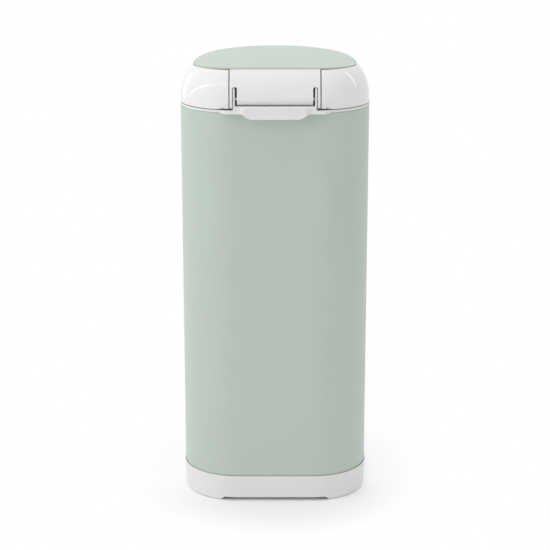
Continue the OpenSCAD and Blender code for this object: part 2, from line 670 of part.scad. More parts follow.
module cassette_ring() color("#d7dad8") translate([chute_c.x, chute_c.y, cassette_z]) difference() {
    cylinder(r = chute_r + chute_t + 0.5 + cassette_w, h = cassette_h);
    translate([0, 0, -1]) cylinder(r = chute_r + chute_t + 0.5, h = cassette_h + 2);
}

housing_r = 92;
housing_wall = 2.5;
module clamp_housing() color(white) translate([chute_c.x, chute_c.y, 0]) difference() {
    union() {
        translate([0, 0, housing_top]) cylinder(r = housing_r, h = housing_flange_t);
        translate([-clamp_x, -clamp_y, clamp_bottom]) cube([2 * clamp_x, 2 * clamp_y, clamp_h + 1]);
    }
    translate([housing_wall - clamp_x, housing_wall - clamp_y, clamp_bottom - 1])
        cube([2 * (clamp_x - housing_wall), 2 * (clamp_y - housing_wall), clamp_h + 10]);
    mirrored() along_y([jaw_pin_x, 0, jaw_z], jaw_pin_r + 0.05, 3 * clamp_y);
    for (p = ring_places(post_ring_r, 4, 45)) translate([p.x - chute_c.x, p.y - chute_c.y, housing_top - 1])
        cylinder(r = screw_r + 0.2, h = 6);
}

housing_screw_l = 11;
module housing_screws() color(steel) for (p = ring_places(post_ring_r, 4, 45)) screw(p, housing_top, screw_r, housing_screw_l, 3, 1.8);

module jaw_pins() color(steel) mirrored() along_y([jaw_pin_x, chute_c.y, jaw_z], jaw_pin_r, 2 * clamp_y + 2);

jaw_y = clamp_y - housing_wall - 1.5;  // half length of a jaw
jaw_barrel_y = jaw_y - 6;
jaw_barrel_r = jaw_pin_r + 2;
jaw_lip = 5;

module jaw_springs() color(steel) mirrored() for (side = [-1, 1])
    translate([0, side * (jaw_barrel_y + jaw_y + 1.4) / 2, 0]) difference() {
        along_y([jaw_pin_x, chute_c.y, jaw_z], jaw_barrel_r, jaw_y - jaw_barrel_y);
        along_y([jaw_pin_x, chute_c.y, jaw_z], jaw_pin_r + 0.3, jaw_y);
    }

// One jaw, on the side where X is positive
module jaw() translate([0, chute_c.y, jaw_z]) difference() {
    union() {
        translate([jaw_lip, -jaw_y, -jaw_t / 2]) cube([jaw_arm - jaw_lip - jaw_barrel_r, 2 * jaw_y, jaw_t]);
        translate([jaw_arm - jaw_barrel_r - 1, -jaw_barrel_y, -jaw_t / 2]) cube([jaw_barrel_r + 2, 2 * jaw_barrel_y, jaw_t]);
        along_y([jaw_pin_x, 0, 0], jaw_barrel_r, 2 * jaw_barrel_y);
    }
    along_y([jaw_pin_x, 0, 0], jaw_pin_r + pin_fit, 3 * jaw_y);
}
module jaw_edge() translate([seat, chute_c.y - jaw_y, jaw_z - jaw_t / 2 - 1]) cube([jaw_lip - seat, 2 * jaw_y, jaw_t + 2]);

module jaw_left() color("#9fb0a4") mirror([1, 0, 0]) jaw();
module jaw_right() color("#9fb0a4") jaw();
module jaw_lip_left() color(dark) mirror([1, 0, 0]) jaw_edge();
module jaw_lip_right() color(dark) jaw_edge();

hook_y = -half_d + collar_in + seat;   // front of the latch's hook, just inside the collar
module release_button() color("#9fb0a4") union() {
    translate([0, 0, button_z[0]]) linear_extrude(button_z[1] - button_z[0]) intersection() {
        polygon(plan(-button_out));
        translate([-button_x, -half_d - 5]) square([2 * button_x, hook_y + half_d + 8]);
    }
    translate([-8, hook_y + 1, sleeve_top - 6]) cube([16, 2.5, button_z[1] - sleeve_top + 6]);
    translate([-8, hook_y, sleeve_top - 4]) cube([16, 2, 3]);
}

spring_z = (button_z[0] + button_z[1]) / 2;
module release_spring() color(steel) difference() {
    along_y([0, (hook_y + 3.5 + bracket_y) / 2, spring_z], 4, bracket_y - hook_y - 3.5);
    along_y([0, (hook_y + 3.5 + bracket_y) / 2, spring_z], 3, body_d);
}

body_sleeve();
base_moulding();
mechanism_cover();
foot_pads();
base_screws();
collar();
rod_guides();
hinge_pin();
pedal_pin();
pedal_spring();
pedal_lever();
pedal_pad();
push_rod();
rod_cap();
rod_foot();
lid_panel();
lid_frame();
lid_liner();
lid_seal();
filter_cartridge();
filter_cover();
lid_screws();
head_dome();
head_chute();
head_screws();
cassette_ring();
clamp_housing();
housing_screws();
jaw_pins();
jaw_springs();
jaw_left();
jaw_right();
jaw_lip_left();
jaw_lip_right();
release_button();
release_spring();
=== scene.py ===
# %% [markdown]
# # A pedal nappy bin
# The CAD model holds what fits and moves. This script dresses it: it works out smooth surfaces for
# the casings from the same few sizes, and gives every piece a finish. Each new surface is a grid of
# points computed as whole numpy arrays, so a shape is a formula and not a pile of hand-made faces.

# %% Load the frame
import json
import math

import bmesh
import bpy
import numpy as np
from mathutils import Matrix, Vector


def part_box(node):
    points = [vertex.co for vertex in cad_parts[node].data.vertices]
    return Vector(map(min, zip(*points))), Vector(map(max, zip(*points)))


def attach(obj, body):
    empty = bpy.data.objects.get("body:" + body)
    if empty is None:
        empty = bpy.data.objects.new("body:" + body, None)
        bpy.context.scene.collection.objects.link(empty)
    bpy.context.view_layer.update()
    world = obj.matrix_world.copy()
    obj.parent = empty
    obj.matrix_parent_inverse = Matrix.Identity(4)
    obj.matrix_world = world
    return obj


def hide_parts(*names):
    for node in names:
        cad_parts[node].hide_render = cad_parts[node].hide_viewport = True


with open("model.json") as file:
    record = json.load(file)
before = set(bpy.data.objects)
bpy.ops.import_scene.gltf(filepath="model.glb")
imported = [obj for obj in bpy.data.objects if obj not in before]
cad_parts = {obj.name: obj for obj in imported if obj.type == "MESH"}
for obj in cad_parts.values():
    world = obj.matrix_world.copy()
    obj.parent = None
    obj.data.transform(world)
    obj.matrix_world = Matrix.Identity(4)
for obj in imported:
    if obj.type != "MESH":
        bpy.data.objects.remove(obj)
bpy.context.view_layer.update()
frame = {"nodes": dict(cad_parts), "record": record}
MM = 0.001

# %% [markdown]
# ## Driving sizes
# The plan is a D: two back corners, two wider front corners, and a front bow that runs tangent into
# them. Sizes are in millimetres, and heights are read from the CAD nodes where a node gives them.

# %% Sizes of the body
BODY_W, BODY_D = 245.0, 252.0
REAR_R = 71.5  # radius of the two back corners
SIDE_R, SIDE_FROM = 240.0, 34.0  # radius of the front corners, and where they begin
SLEEVE_T = 0.9
HALF_W, HALF_D = BODY_W / 2, BODY_D / 2


def top_of(node):
    """The highest point of a CAD node, in millimetres."""
    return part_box(node)[1][2] / MM


def bottom_of(node):
    """The lowest point of a CAD node, in millimetres."""
    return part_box(node)[0][2] / MM


BASE_TOP = top_of("base_moulding")
SLEEVE_TOP = top_of("body_sleeve")
GROOVE_Z = bottom_of("body_sleeve")
HEAD_BOTTOM = bottom_of("head_dome")
COLLAR_TOP = HEAD_BOTTOM - 1.0
pin = np.array(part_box("hinge_pin")) / MM
PIN_Y, PIN_Z = pin[:, 1].mean(), pin[:, 2].mean()
PIN_R = (pin[1, 2] - pin[0, 2]) / 2
print("base", BASE_TOP, "sleeve", SLEEVE_TOP, "head", HEAD_BOTTOM, "hinge pin", PIN_Y, PIN_Z)

# %% [markdown]
# ## The outline and its normals
# Every wall of the bin follows the same outline, drawn in by some inset. Where arcs meet at a
# tangent, drawing in by `s` moves each point by `s` along its own normal, so one list of points and
# one list of normals gives every parallel outline.

# %% Centres and radii of the outline
REAR_C = np.array([HALF_W - REAR_R, HALF_D - REAR_R])
SIDE_C = np.array([HALF_W - SIDE_R, SIDE_FROM])
across_gap, along_gap = SIDE_R - HALF_W, SIDE_R - HALF_D
BOW_C = np.array([0.0, (across_gap**2 + SIDE_FROM**2 - along_gap**2) / 2 / (SIDE_FROM - along_gap)])
BOW_R = BOW_C[1] + HALF_D
SIDE_TURN = math.atan2(SIDE_FROM - BOW_C[1], across_gap)
RELIEF_X, RELIEF_Z = 73.5, 4.7  # half width and height of the relief under the back
ARCH_X, ARCH_Z = 37.0, 29.5  # half width and height of the pedal's arch
print("bow of radius", BOW_R, "round y =", BOW_C[1], "front corners turn", math.degrees(SIDE_TURN))


# %% Arcs and lines with their normals
def on_arc(centre, radius, angles):
    """Points of an arc and their outward normals, for angles in radians from +X."""
    normal = np.column_stack([np.cos(angles), np.sin(angles)])
    return centre + radius * normal, normal


def on_line(start, end, count, normal):
    """Points between two corners, both left out, all with the same normal."""
    k = np.linspace(0, 1, count + 2)[1:-1, None]
    points = np.asarray(start) * (1 - k) + np.asarray(end) * k
    return points, np.tile(np.asarray(normal, float), (count, 1))


quarter_circle, _ = on_arc(np.zeros(2), 1, np.radians([0, 45, 90]))
print("a quarter circle in three points:", quarter_circle.round(2).tolist())

# %% The outline
SIDE_COUNT, CORNER_STEPS, BACK_COUNT, BOW_COUNT = 12, 20, 70, 59


def outline():
    """The whole outline, counter-clockwise from the right side, as points and outward normals.
    The bow gets extra points on the sides of the pedal's arch and 0.3 mm to each side of them, so
    that the arch's walls stand upright."""
    quarter = np.linspace(0, math.pi / 2, CORNER_STEPS + 1)
    turn = np.linspace(0, SIDE_TURN, CORNER_STEPS + 1)
    arch = np.arcsin(np.add.outer([-ARCH_X, ARCH_X], [-0.3, 0, 0.3]).ravel() / BOW_R)
    even = np.linspace(SIDE_TURN - math.pi / 2, math.pi / 2 - SIDE_TURN, BOW_COUNT)
    bow = np.union1d(even[1:-1], arch)
    mirror = REAR_C * [-1, 1]
    pieces = [
        on_line([HALF_W, SIDE_C[1]], [HALF_W, REAR_C[1]], SIDE_COUNT, [1, 0]),
        on_arc(REAR_C, REAR_R, quarter),
        on_line([REAR_C[0], HALF_D], [-REAR_C[0], HALF_D], BACK_COUNT, [0, 1]),
        on_arc(mirror, REAR_R, quarter + math.pi / 2),
        on_line([-HALF_W, REAR_C[1]], [-HALF_W, SIDE_C[1]], SIDE_COUNT, [-1, 0]),
        on_arc(SIDE_C * [-1, 1], SIDE_R, turn + math.pi),
        on_arc(BOW_C, BOW_R, bow - math.pi / 2),
        on_arc(SIDE_C, SIDE_R, turn + 2 * math.pi - SIDE_TURN),
    ]
    return np.vstack([p for p, _ in pieces]), np.vstack([n for _, n in pieces])


RING, RING_N = outline()
print("outline points:", len(RING), "width", np.ptp(RING[:, 0]), "depth", np.ptp(RING[:, 1]))

# %% [markdown]
# ## From a grid of points to a mesh
# A surface is an array with one row per station of a section and one column per step along the
# path. Joining neighbours gives quads. A ring or a closed section wraps round, and an open end is
# closed with one flat face.

# %% Grid to mesh
def grid_faces(rows, columns, wrap_rows, wrap_columns):
    """Quads between neighbours of a grid, numbered row by row."""
    r = np.arange(rows if wrap_rows else rows - 1)
    c = np.arange(columns if wrap_columns else columns - 1)
    r, c = [a.ravel() for a in np.meshgrid(r, c, indexing="ij")]
    r2, c2 = (r + 1) % rows, (c + 1) % columns
    return np.column_stack([r * columns + c, r * columns + c2, r2 * columns + c2, r2 * columns + c])


print("a ring of 3 by 4 points has", len(grid_faces(3, 4, True, True)), "quads")


# %% Points and faces to a piece
def new_piece(name, points, faces, sharp=35.0):
    """A mesh object from points in millimetres and lists of corners, facing outwards and shaded
    smooth except across edges that turn by more than `sharp` degrees."""
    mesh = bpy.data.meshes.new(name)
    mesh.from_pydata((np.asarray(points) * MM).tolist(), [], [list(map(int, f)) for f in faces])
    mesh.validate()
    piece = bpy.data.objects.new(name, mesh)
    bpy.context.scene.collection.objects.link(piece)
    face_outwards(piece)
    finish_shading(piece, sharp)
    return piece


def face_outwards(piece):
    """Merges doubles and turns every face outwards."""
    work = bmesh.new()
    work.from_mesh(piece.data)
    bmesh.ops.remove_doubles(work, verts=work.verts, dist=1e-7)
    bmesh.ops.recalc_face_normals(work, faces=work.faces)
    work.to_mesh(piece.data)
    work.free()


def finish_shading(piece, sharp):
    """Smooth shading with sharp edges kept where the surface turns."""
    piece.data.polygons.foreach_set("use_smooth", np.ones(len(piece.data.polygons), bool))
    piece.data.set_sharp_from_angle(angle=math.radians(sharp))
    piece.data.update()


print("one unit in Blender is a metre, so points are scaled by", MM)


# %% Grid to piece, and pieces joined
def grid_piece(name, grid, wrap_rows=False, wrap_columns=False, cap=None, sharp=35.0):
    """A piece from a (rows, columns, 3) grid. cap="columns" closes the first and last column with a
    flat face each, and cap="rows" does so for the first and last row."""
    rows, columns = grid.shape[:2]
    faces = grid_faces(rows, columns, wrap_rows, wrap_columns).tolist()
    index = np.arange(rows * columns).reshape(rows, columns)
    if cap == "columns":
        faces += [index[:, 0].tolist(), index[::-1, -1].tolist()]
    if cap == "rows":
        faces += [index[0].tolist(), index[-1, ::-1].tolist()]
    return new_piece(name, grid.reshape(-1, 3), faces, sharp)


def joined(name, *parts, sharp=35.0):
    """Several pieces made one object, which keeps the first one's place."""
    bpy.ops.object.select_all(action="DESELECT")
    for part in parts:
        part.select_set(True)
    bpy.context.view_layer.objects.active = parts[0]
    bpy.ops.object.join()
    parts[0].name = parts[0].data.name = name
    finish_shading(parts[0], sharp)
    return parts[0]


def cut(piece, *tools, operation="DIFFERENCE"):
    """Takes the tools' solids away from a closed piece, or adds them where the operation is UNION,
    and removes the tools."""
    for tool in tools:
        change = piece.modifiers.new("cut", "BOOLEAN")
        change.operation, change.solver, change.object = operation, "EXACT", tool
        bpy.context.view_layer.objects.active = piece
        bpy.ops.object.modifier_apply(modifier=change.name)
        bpy.data.objects.remove(tool)
    finish_shading(piece, 35.0)
    return piece


print("cuts are exact, and edges sharper than 35 degrees stay sharp")

# %% [markdown]
# ## Sections with rounded corners
# A moulded edge is never sharp. A section is drawn as a few corners, each with its own radius, and
# every corner is replaced with a short arc that is tangent to both sides.

# %% Rounded sections
def rounded(corners, steps=5):
    """A closed section from [a, b, radius] corners. The arc at a corner starts radius / tan(half the
    angle) before it, and at most 0.49 of a side away. Between its ends it is a weighted quadratic
    blend through the corner, whose weight, the sine of half the angle, makes it round."""
    c = np.asarray(corners, float)
    here, radius = c[:, :2], c[:, 2]
    back, ahead = np.roll(here, 1, 0) - here, np.roll(here, -1, 0) - here
    back_len, ahead_len = np.linalg.norm(back, axis=1), np.linalg.norm(ahead, axis=1)
    cosine = np.clip((back * ahead).sum(1) / (back_len * ahead_len), -1, 1)
    half = np.arccos(cosine) / 2
    reach = np.minimum(radius / np.tan(half + 1e-9), 0.49 * np.minimum(back_len, ahead_len))
    first = here + back / back_len[:, None] * reach[:, None]
    last = here + ahead / ahead_len[:, None] * reach[:, None]
    k = np.linspace(0, 1, steps + 1)[None, :, None]
    pull = 2 * np.sin(half)[:, None, None] * k * (1 - k)
    blend = first[:, None] * (1 - k) ** 2 + pull * here[:, None] + last[:, None] * k**2
    arcs = blend / ((1 - k) ** 2 + pull + k**2)
    return np.vstack([arc if r > 0 else point[None] for arc, r, point in zip(arcs, radius, here)])


square = rounded([[0, 0, 1], [4, 0, 1], [4, 4, 1], [0, 4, 1]])
print("a square with four rounded corners has", len(square), "points")


# %% A section carried round the body
def round_body(section, points=RING, normals=RING_N):
    """Carries a section of (inset, z) round the outline: each point is the outline's point moved
    in by the inset along its own normal, at the section's height."""
    inset, z = section[:, 0, None], section[:, 1, None]
    x = points[None, :, 0] - inset * normals[None, :, 0]
    y = points[None, :, 1] - inset * normals[None, :, 1]
    return np.stack([x, y, np.broadcast_to(z, x.shape)], axis=-1)


print("a square section round the outline:", round_body(square).shape[:2], "rows and columns")


# %% A tube along a path
def tube(path, radius, sides=10):
    """A round tube along a path: at each point a circle stands square to the path, on two axes
    made from the path's own direction."""
    path = np.asarray(path, float)
    along = np.gradient(path, axis=0)
    along /= np.linalg.norm(along, axis=1)[:, None]
    guide = np.where(np.abs(along[:, :1]) < 0.9, [[1.0, 0, 0]], [[0, 1.0, 0]])
    side = np.cross(along, guide)
    side /= np.linalg.norm(side, axis=1)[:, None]
    up = np.cross(along, side)
    turn = np.linspace(0, 2 * math.pi, sides, endpoint=False)[None, :, None]
    circle = np.cos(turn) * side[:, None] + np.sin(turn) * up[:, None]
    return path[:, None] + radius * circle


print("a straight tube of two rings:", tube([[0, 0, 0], [0, 0, 9]], 1).shape[:2], "points")


# %% A slab with softened rims
def corner_normals(line):
    """At each corner of a closed line, the unit vector to the right of the mean of the directions
    before and after it."""
    ahead, behind = np.roll(line, -1, 0) - line, line - np.roll(line, 1, 0)
    ahead /= np.linalg.norm(ahead, axis=1)[:, None] + 1e-12
    behind /= np.linalg.norm(behind, axis=1)[:, None] + 1e-12
    mean = ahead + behind
    mean /= np.linalg.norm(mean, axis=1)[:, None] + 1e-12
    return np.column_stack([mean[:, 1], -mean[:, 0]])


def across(name, profile, x0, x1, edge=0.4, steps=3, sharp=35.0):
    """A slab between two values of x with a closed outline in (y, z) and softened rims: near each
    end the outline shrinks along its normals as a quarter round does. The outline's signed area
    tells which way it runs, and so which side is out."""
    profile = np.asarray(profile, float)
    following = np.roll(profile, -1, 0)
    area = np.sum(profile[:, 0] * following[:, 1] - profile[:, 1] * following[:, 0])
    normal = corner_normals(profile) * np.sign(area)
    t = np.linspace(0, math.pi / 2, steps + 1)
    xs = np.concatenate([x0 + edge * (1 - np.cos(t)), x1 - edge * (1 - np.cos(t[::-1]))])
    ins = np.concatenate([edge * (1 - np.sin(t)), edge * (1 - np.sin(t[::-1]))])
    yz = profile[None] - ins[:, None, None] * normal[None]
    grid = np.concatenate([np.broadcast_to(xs[:, None, None], yz.shape[:2] + (1,)), yz], axis=-1)
    return grid_piece(name, grid, wrap_columns=True, cap="rows", sharp=sharp)


small_square = np.array([[0.0, 0], [1, 0], [1, 1], [0, 1]])
print("outwards at a square's corners:", corner_normals(small_square).round(1).tolist())

# %% [markdown]
# ## Finishes
# Each material is a real one: powder coat on steel, moulded ABS and polypropylene, rubber, drawn and
# plated steel, and foam. Colours are written as they look on a screen and turned to linear once.
# Pattern sizes are real: a spark-eroded mould leaves a grain of some tenths of a millimetre.

# %% Colours, scales and nodes
def linear(hex_colour):
    """An sRGB hex colour as linear red, green, blue and alpha."""
    c = np.array([int(hex_colour[i : i + 2], 16) / 255 for i in (1, 3, 5)])
    c = np.where(c <= 0.04045, c / 12.92, ((c + 0.055) / 1.055) ** 2.4)
    return (*c.tolist(), 1.0)


def per_metre(size_mm):
    """The texture scale at which one cell of a pattern is size_mm wide."""
    return 1.0 / (size_mm * MM)


def put(tree, kind, settings, wires=None):
    """Adds a node. A setting goes to the input of that name or number, or else to the property of
    that name, and a wire brings another node's output to the input of that name or number."""
    node = tree.nodes.new(kind)
    for key, value in settings.items():
        if isinstance(key, int) or key in node.inputs:
            node.inputs[key].default_value = value
        else:
            setattr(node, key, value)
    for key, socket in (wires or {}).items():
        tree.links.new(socket, node.inputs[key])
    return node


print("#808080 is", round(linear("#808080")[0], 3), "in linear light")
print("a pattern with cells of 2 mm has the scale", per_metre(2.0))


# %% The start of every material
def plain_material(name, colour, roughness, metallic=0.0, ior=1.5):
    """A material with its shader set and nothing linked yet, returned with its tree and shader."""
    made = bpy.data.materials.new(name)
    made.use_nodes = True
    tree = made.node_tree
    shader = next(n for n in tree.nodes if n.type == "BSDF_PRINCIPLED")
    shader.inputs["Base Color"].default_value = linear(colour)
    shader.inputs["Roughness"].default_value = roughness
    shader.inputs["Metallic"].default_value = metallic
    if metallic < 0.5:
        shader.inputs["IOR"].default_value = ior
    return made, tree, shader


print("every finish starts from Blender's Principled shader")


# %% Grain and drift
def grain(tree, shader, size_mm, depth_mm, detail=2.0, stretch=(1, 1, 1)):
    """Links a fine bump to the shader: noise whose cells are size_mm wide and depth_mm deep."""
    where = put(tree, "ShaderNodeTexCoord", {}).outputs["Object"]
    drawn = put(tree, "ShaderNodeMapping", {"Scale": stretch}, {"Vector": where}).outputs["Vector"]
    cells = {"Scale": per_metre(size_mm), "Detail": detail}
    noise = put(tree, "ShaderNodeTexNoise", cells, {"Vector": drawn}).outputs["Fac"]
    relief = {"Strength": 1.0, "Distance": depth_mm * MM}
    bump = put(tree, "ShaderNodeBump", relief, {"Height": noise})
    tree.links.new(bump.outputs["Normal"], shader.inputs["Normal"])


def blend(tree, shader, colour_a, colour_b, share):
    """Mixes two colours by another node's output, from 0 for the first to 1 for the second, and
    gives the mix to the shader. Inputs 6 and 7 of the mix node are its two colours."""
    colours = {"data_type": "RGBA", 6: linear(colour_a), 7: linear(colour_b)}
    mix = put(tree, "ShaderNodeMix", colours, {"Factor": share})
    tree.links.new(mix.outputs[2], shader.inputs["Base Color"])


def vary(tree, shader, colour_a, colour_b, size_mm, roughness=None):
    """Lets the colour, and the roughness where a pair is given, drift slowly between two values."""
    where = put(tree, "ShaderNodeTexCoord", {}).outputs["Object"]
    patches = {"Scale": per_metre(size_mm), "Detail": 3.0}
    cloud = put(tree, "ShaderNodeTexNoise", patches, {"Vector": where}).outputs["Fac"]
    blend(tree, shader, colour_a, colour_b, cloud)
    if roughness:
        spread = {"From Min": 0.3, "From Max": 0.7, "To Min": roughness[0], "To Max": roughness[1]}
        rough = put(tree, "ShaderNodeMapRange", spread, {"Value": cloud})
        tree.links.new(rough.outputs["Result"], shader.inputs["Roughness"])


print("grain is bump alone, and drift is colour and roughness")

# %% [markdown]
# ### Powder coat and plastics
# The sleeve and the lid's panel are coated with powder that melts in an oven: satin, with a faint
# orange peel. The dome is ABS from a polished mould, whose gloss is nearly a mirror's, and the base
# and the collar are polypropylene from an eroded mould, which scatters the light. What tells them
# apart is roughness and the size of the grain, so each finish starts from these two.

# %% Powder coat and plastics
def powder_coat():
    """Sage powder coat on steel: satin, with the faint orange peel of cured powder, about 2 mm wide."""
    made, tree, shader = plain_material("sage_powder_coat", "#becbc0", 0.42)
    vary(tree, shader, "#bdcabf", "#c0cdc2", 60.0, roughness=(0.39, 0.45))
    grain(tree, shader, 2.2, 0.006, detail=1.0)
    return made


def gloss_abs():
    """White ABS from a polished mould: a clear, slightly uneven reflection."""
    made, tree, shader = plain_material("white_gloss_abs", "#eceded", 0.05, ior=1.53)
    vary(tree, shader, "#ebeceb", "#eeeeed", 40.0, roughness=(0.04, 0.06))
    grain(tree, shader, 9.0, 0.003, detail=0.0)
    return made


def satin_polypropylene(name, light, dark, rough=(0.34, 0.42)):
    """White polypropylene from a fine spark-eroded mould: soft sheen, grain of about 0.5 mm."""
    made, tree, shader = plain_material(name, light, rough[0], ior=1.49)
    vary(tree, shader, light, dark, 50.0, roughness=rough)
    grain(tree, shader, 0.5, 0.004)
    return made


def green_abs():
    """Grey-green ABS for the parts a hand or the film meets."""
    made, tree, shader = plain_material("grey_green_abs", "#9fb0a4", 0.3, ior=1.53)
    vary(tree, shader, "#9dafa2", "#a2b3a7", 30.0, roughness=(0.26, 0.34))
    grain(tree, shader, 0.6, 0.004)
    return made


def dark_rubber():
    """Moulded rubber: dull, with a dusty unevenness."""
    made, tree, shader = plain_material("dark_rubber", "#55595a", 0.7, ior=1.52)
    vary(tree, shader, "#4f5354", "#5d6162", 12.0, roughness=(0.64, 0.78))
    grain(tree, shader, 0.8, 0.02)
    return made


print("roughness: paint 0.42, gloss 0.05, satin 0.38, rubber 0.7")

# %% [markdown]
# ### Metals, foam and cassette
# Pins and springs are drawn through a die, which leaves lines along them, and screws are plated with
# zinc. A metal's colour is that of its reflection, so its shader is fully metallic and keeps the
# default index of refraction. Foam is all small cells, and the cassette's film shows as rings.

# %% Metals
def drawn_steel():
    """Bright drawn steel: fine lines along the wire or pin, which runs across the bin."""
    made, tree, shader = plain_material("drawn_steel", "#c9cbcc", 0.25, metallic=1.0)
    vary(tree, shader, "#c4c6c8", "#d2d3d4", 10.0, roughness=(0.2, 0.32))
    grain(tree, shader, 0.4, 0.003, stretch=(0.05, 1, 1))
    return made


def zinc_plate():
    """Zinc-plated steel: a cool grey that shifts a little from patch to patch."""
    made, tree, shader = plain_material("zinc_plate", "#b4b8bb", 0.35, metallic=1.0)
    vary(tree, shader, "#a9aeb3", "#c1c3c1", 7.0, roughness=(0.3, 0.42))
    grain(tree, shader, 0.5, 0.004)
    return made


print("roughness: drawn steel 0.25, zinc plate 0.35")


# %% Foam and cassette
def carbon_foam():
    """Open-cell foam loaded with carbon: cells of about 2 mm."""
    made, tree, shader = plain_material("carbon_foam", "#474a48", 0.9, ior=1.45)
    where = put(tree, "ShaderNodeTexCoord", {}).outputs["Object"]
    cells = put(tree, "ShaderNodeTexVoronoi", {"Scale": per_metre(2.0)}, {"Vector": where})
    bump = put(tree, "ShaderNodeBump", {"Distance": 0.6 * MM}, {"Height": cells.outputs["Distance"]})
    tree.links.new(bump.outputs["Normal"], shader.inputs["Normal"])
    return made


def cassette_plastic():
    """Milky polypropylene with the pleated film showing inside as rings 3.2 mm apart, which is
    coarser than real pleats so that they show. A wave texture turns by 20 radians for each unit of
    length and scale, so the scale is two pi over 20 times the pitch."""
    made, tree, shader = plain_material("milky_cassette", "#d3dcd8", 0.4, ior=1.49)
    where = put(tree, "ShaderNodeTexCoord", {}).outputs["Object"]
    pleats = {"wave_type": "BANDS", "bands_direction": "Z", "Distortion": 0.6,
        "Scale": per_metre(3.2) * 2 * math.pi / 20}
    rings = put(tree, "ShaderNodeTexWave", pleats, {"Vector": where})
    blend(tree, shader, "#cdd8d3", "#dbe3df", rings.outputs["Fac"])
    return made


print("the pleats' wave has the scale", per_metre(3.2) * 2 * math.pi / 20)

# %% All finishes
FINISH = {
    "sage_paint": powder_coat(),
    "gloss_white": gloss_abs(),
    "satin_white": satin_polypropylene("white_satin_pp", "#e9eae8", "#e5e6e4"),
    "inner_white": satin_polypropylene("white_inner_pp", "#dfe1df", "#dadcda", rough=(0.42, 0.5)),
    "grey_green": green_abs(),
    "soft_dark": dark_rubber(),
    "bright_steel": drawn_steel(),
    "zinc_steel": zinc_plate(),
    "filter_carbon": carbon_foam(),
    "cassette_plastic": cassette_plastic(),
}
print("finishes:", ", ".join(sorted(FINISH)))

# %% [markdown]
# ## Who wears what
# The CAD record says which finish each node has. A node that stays as it is gets that finish, and a
# new piece gets the same one as the node that it stands for, together with its moving body.

# %% Give each piece its finish
def wear(piece, slot):
    """Takes a piece's materials away and gives it the finish of that slot."""
    piece.data.materials.clear()
    piece.data.materials.append(FINISH[slot])


def dress(piece, body, slot, node):
    """Gives a new piece its finish and its body, and hides the CAD node that it stands for."""
    wear(piece, slot)
    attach(piece, body)
    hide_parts(node)
    print(piece.name, "faces", len(piece.data.polygons))


slot_of = {part["node"]: part["material_slot"] for part in frame["record"]["subparts"]}
for node, slot in slot_of.items():
    wear(frame["nodes"][node], slot)
print("CAD nodes with a finish:", len(slot_of))

# %% [markdown]
# ## Steel sleeve
# The body is one sheet of steel, bent round and seamed, then painted. Its wall is a straight
# section carried round the outline. At the foot it steps inwards by JOG_IN, so that it drops into
# the base's groove and leaves a thin shadow line above the base.

# %% Steel sleeve
JOG_Z, JOG_IN = BASE_TOP + 0.3, 1.5
FOLD_Z, FOOT_IN = JOG_Z + SLEEVE_T, JOG_IN + SLEEVE_T
sleeve_section = rounded([
    [JOG_IN, GROOVE_Z, 0], [JOG_IN, JOG_Z, 0.2], [0, JOG_Z, 0.3], [0, SLEEVE_TOP, 0.3],
    [SLEEVE_T, SLEEVE_TOP, 0.3], [SLEEVE_T, FOLD_Z, 0], [FOOT_IN, FOLD_Z, 0.3], [FOOT_IN, GROOVE_Z, 0],
])
sleeve = grid_piece("steel_sleeve", round_body(sleeve_section), wrap_rows=True, wrap_columns=True)
dress(sleeve, "pail", "sage_paint", "body_sleeve")

# %% [markdown]
# ## Base band
# The moulded base stands a little proud of the steel at its top and narrows towards the floor, the
# draft that lets it leave its mould. Its bottom edge lifts into a relief at the back and into an
# arch for the pedal at the front, so the edge's height is a function of the place on the outline.

# %% The base's bottom edge
BASE_LIFT = 0.8  # the band's clearance above the floor, which the rubber feet give it
RELIEF_RUN, ARCH_R = 5.0, 7.0  # width of the relief's slanted ends, radius of the arch's corners


def smooth_step(k):
    """0 below 0, 1 above 1, and a soft S between."""
    k = np.clip(k, 0, 1)
    return k * k * (3 - 2 * k)


def bottom_edge(points):
    """Height of the band's bottom edge: the lift all round, raised to the relief's height between
    its slanted ends at the back, and to the arch's height between its sides at the front."""
    x, y = points[:, 0], points[:, 1]
    relief = smooth_step((RELIEF_X - np.abs(x)) / RELIEF_RUN) * (y > HALF_D - 20)
    inside = np.clip(ARCH_X - np.abs(x), 0, ARCH_R) / ARCH_R
    arch = np.sqrt(1 - (1 - inside) ** 2) * ARCH_R + (ARCH_Z - ARCH_R - BASE_LIFT)
    arch = np.where((np.abs(x) < ARCH_X) & (y < 0), arch, 0)
    return BASE_LIFT + relief * (RELIEF_Z - BASE_LIFT) + arch


low_edge = bottom_edge(RING)
print("the band's bottom edge lies", low_edge.min(), "to", low_edge.max(), "mm above the floor")

# %% Rings of the base band
BASE_PROUD, BASE_DRAFT, BASE_IN = 1.4, 2.3, 3.7
LINE_GAP, LIP_R, EDGE_IN = 0.9, 0.9, 0.35


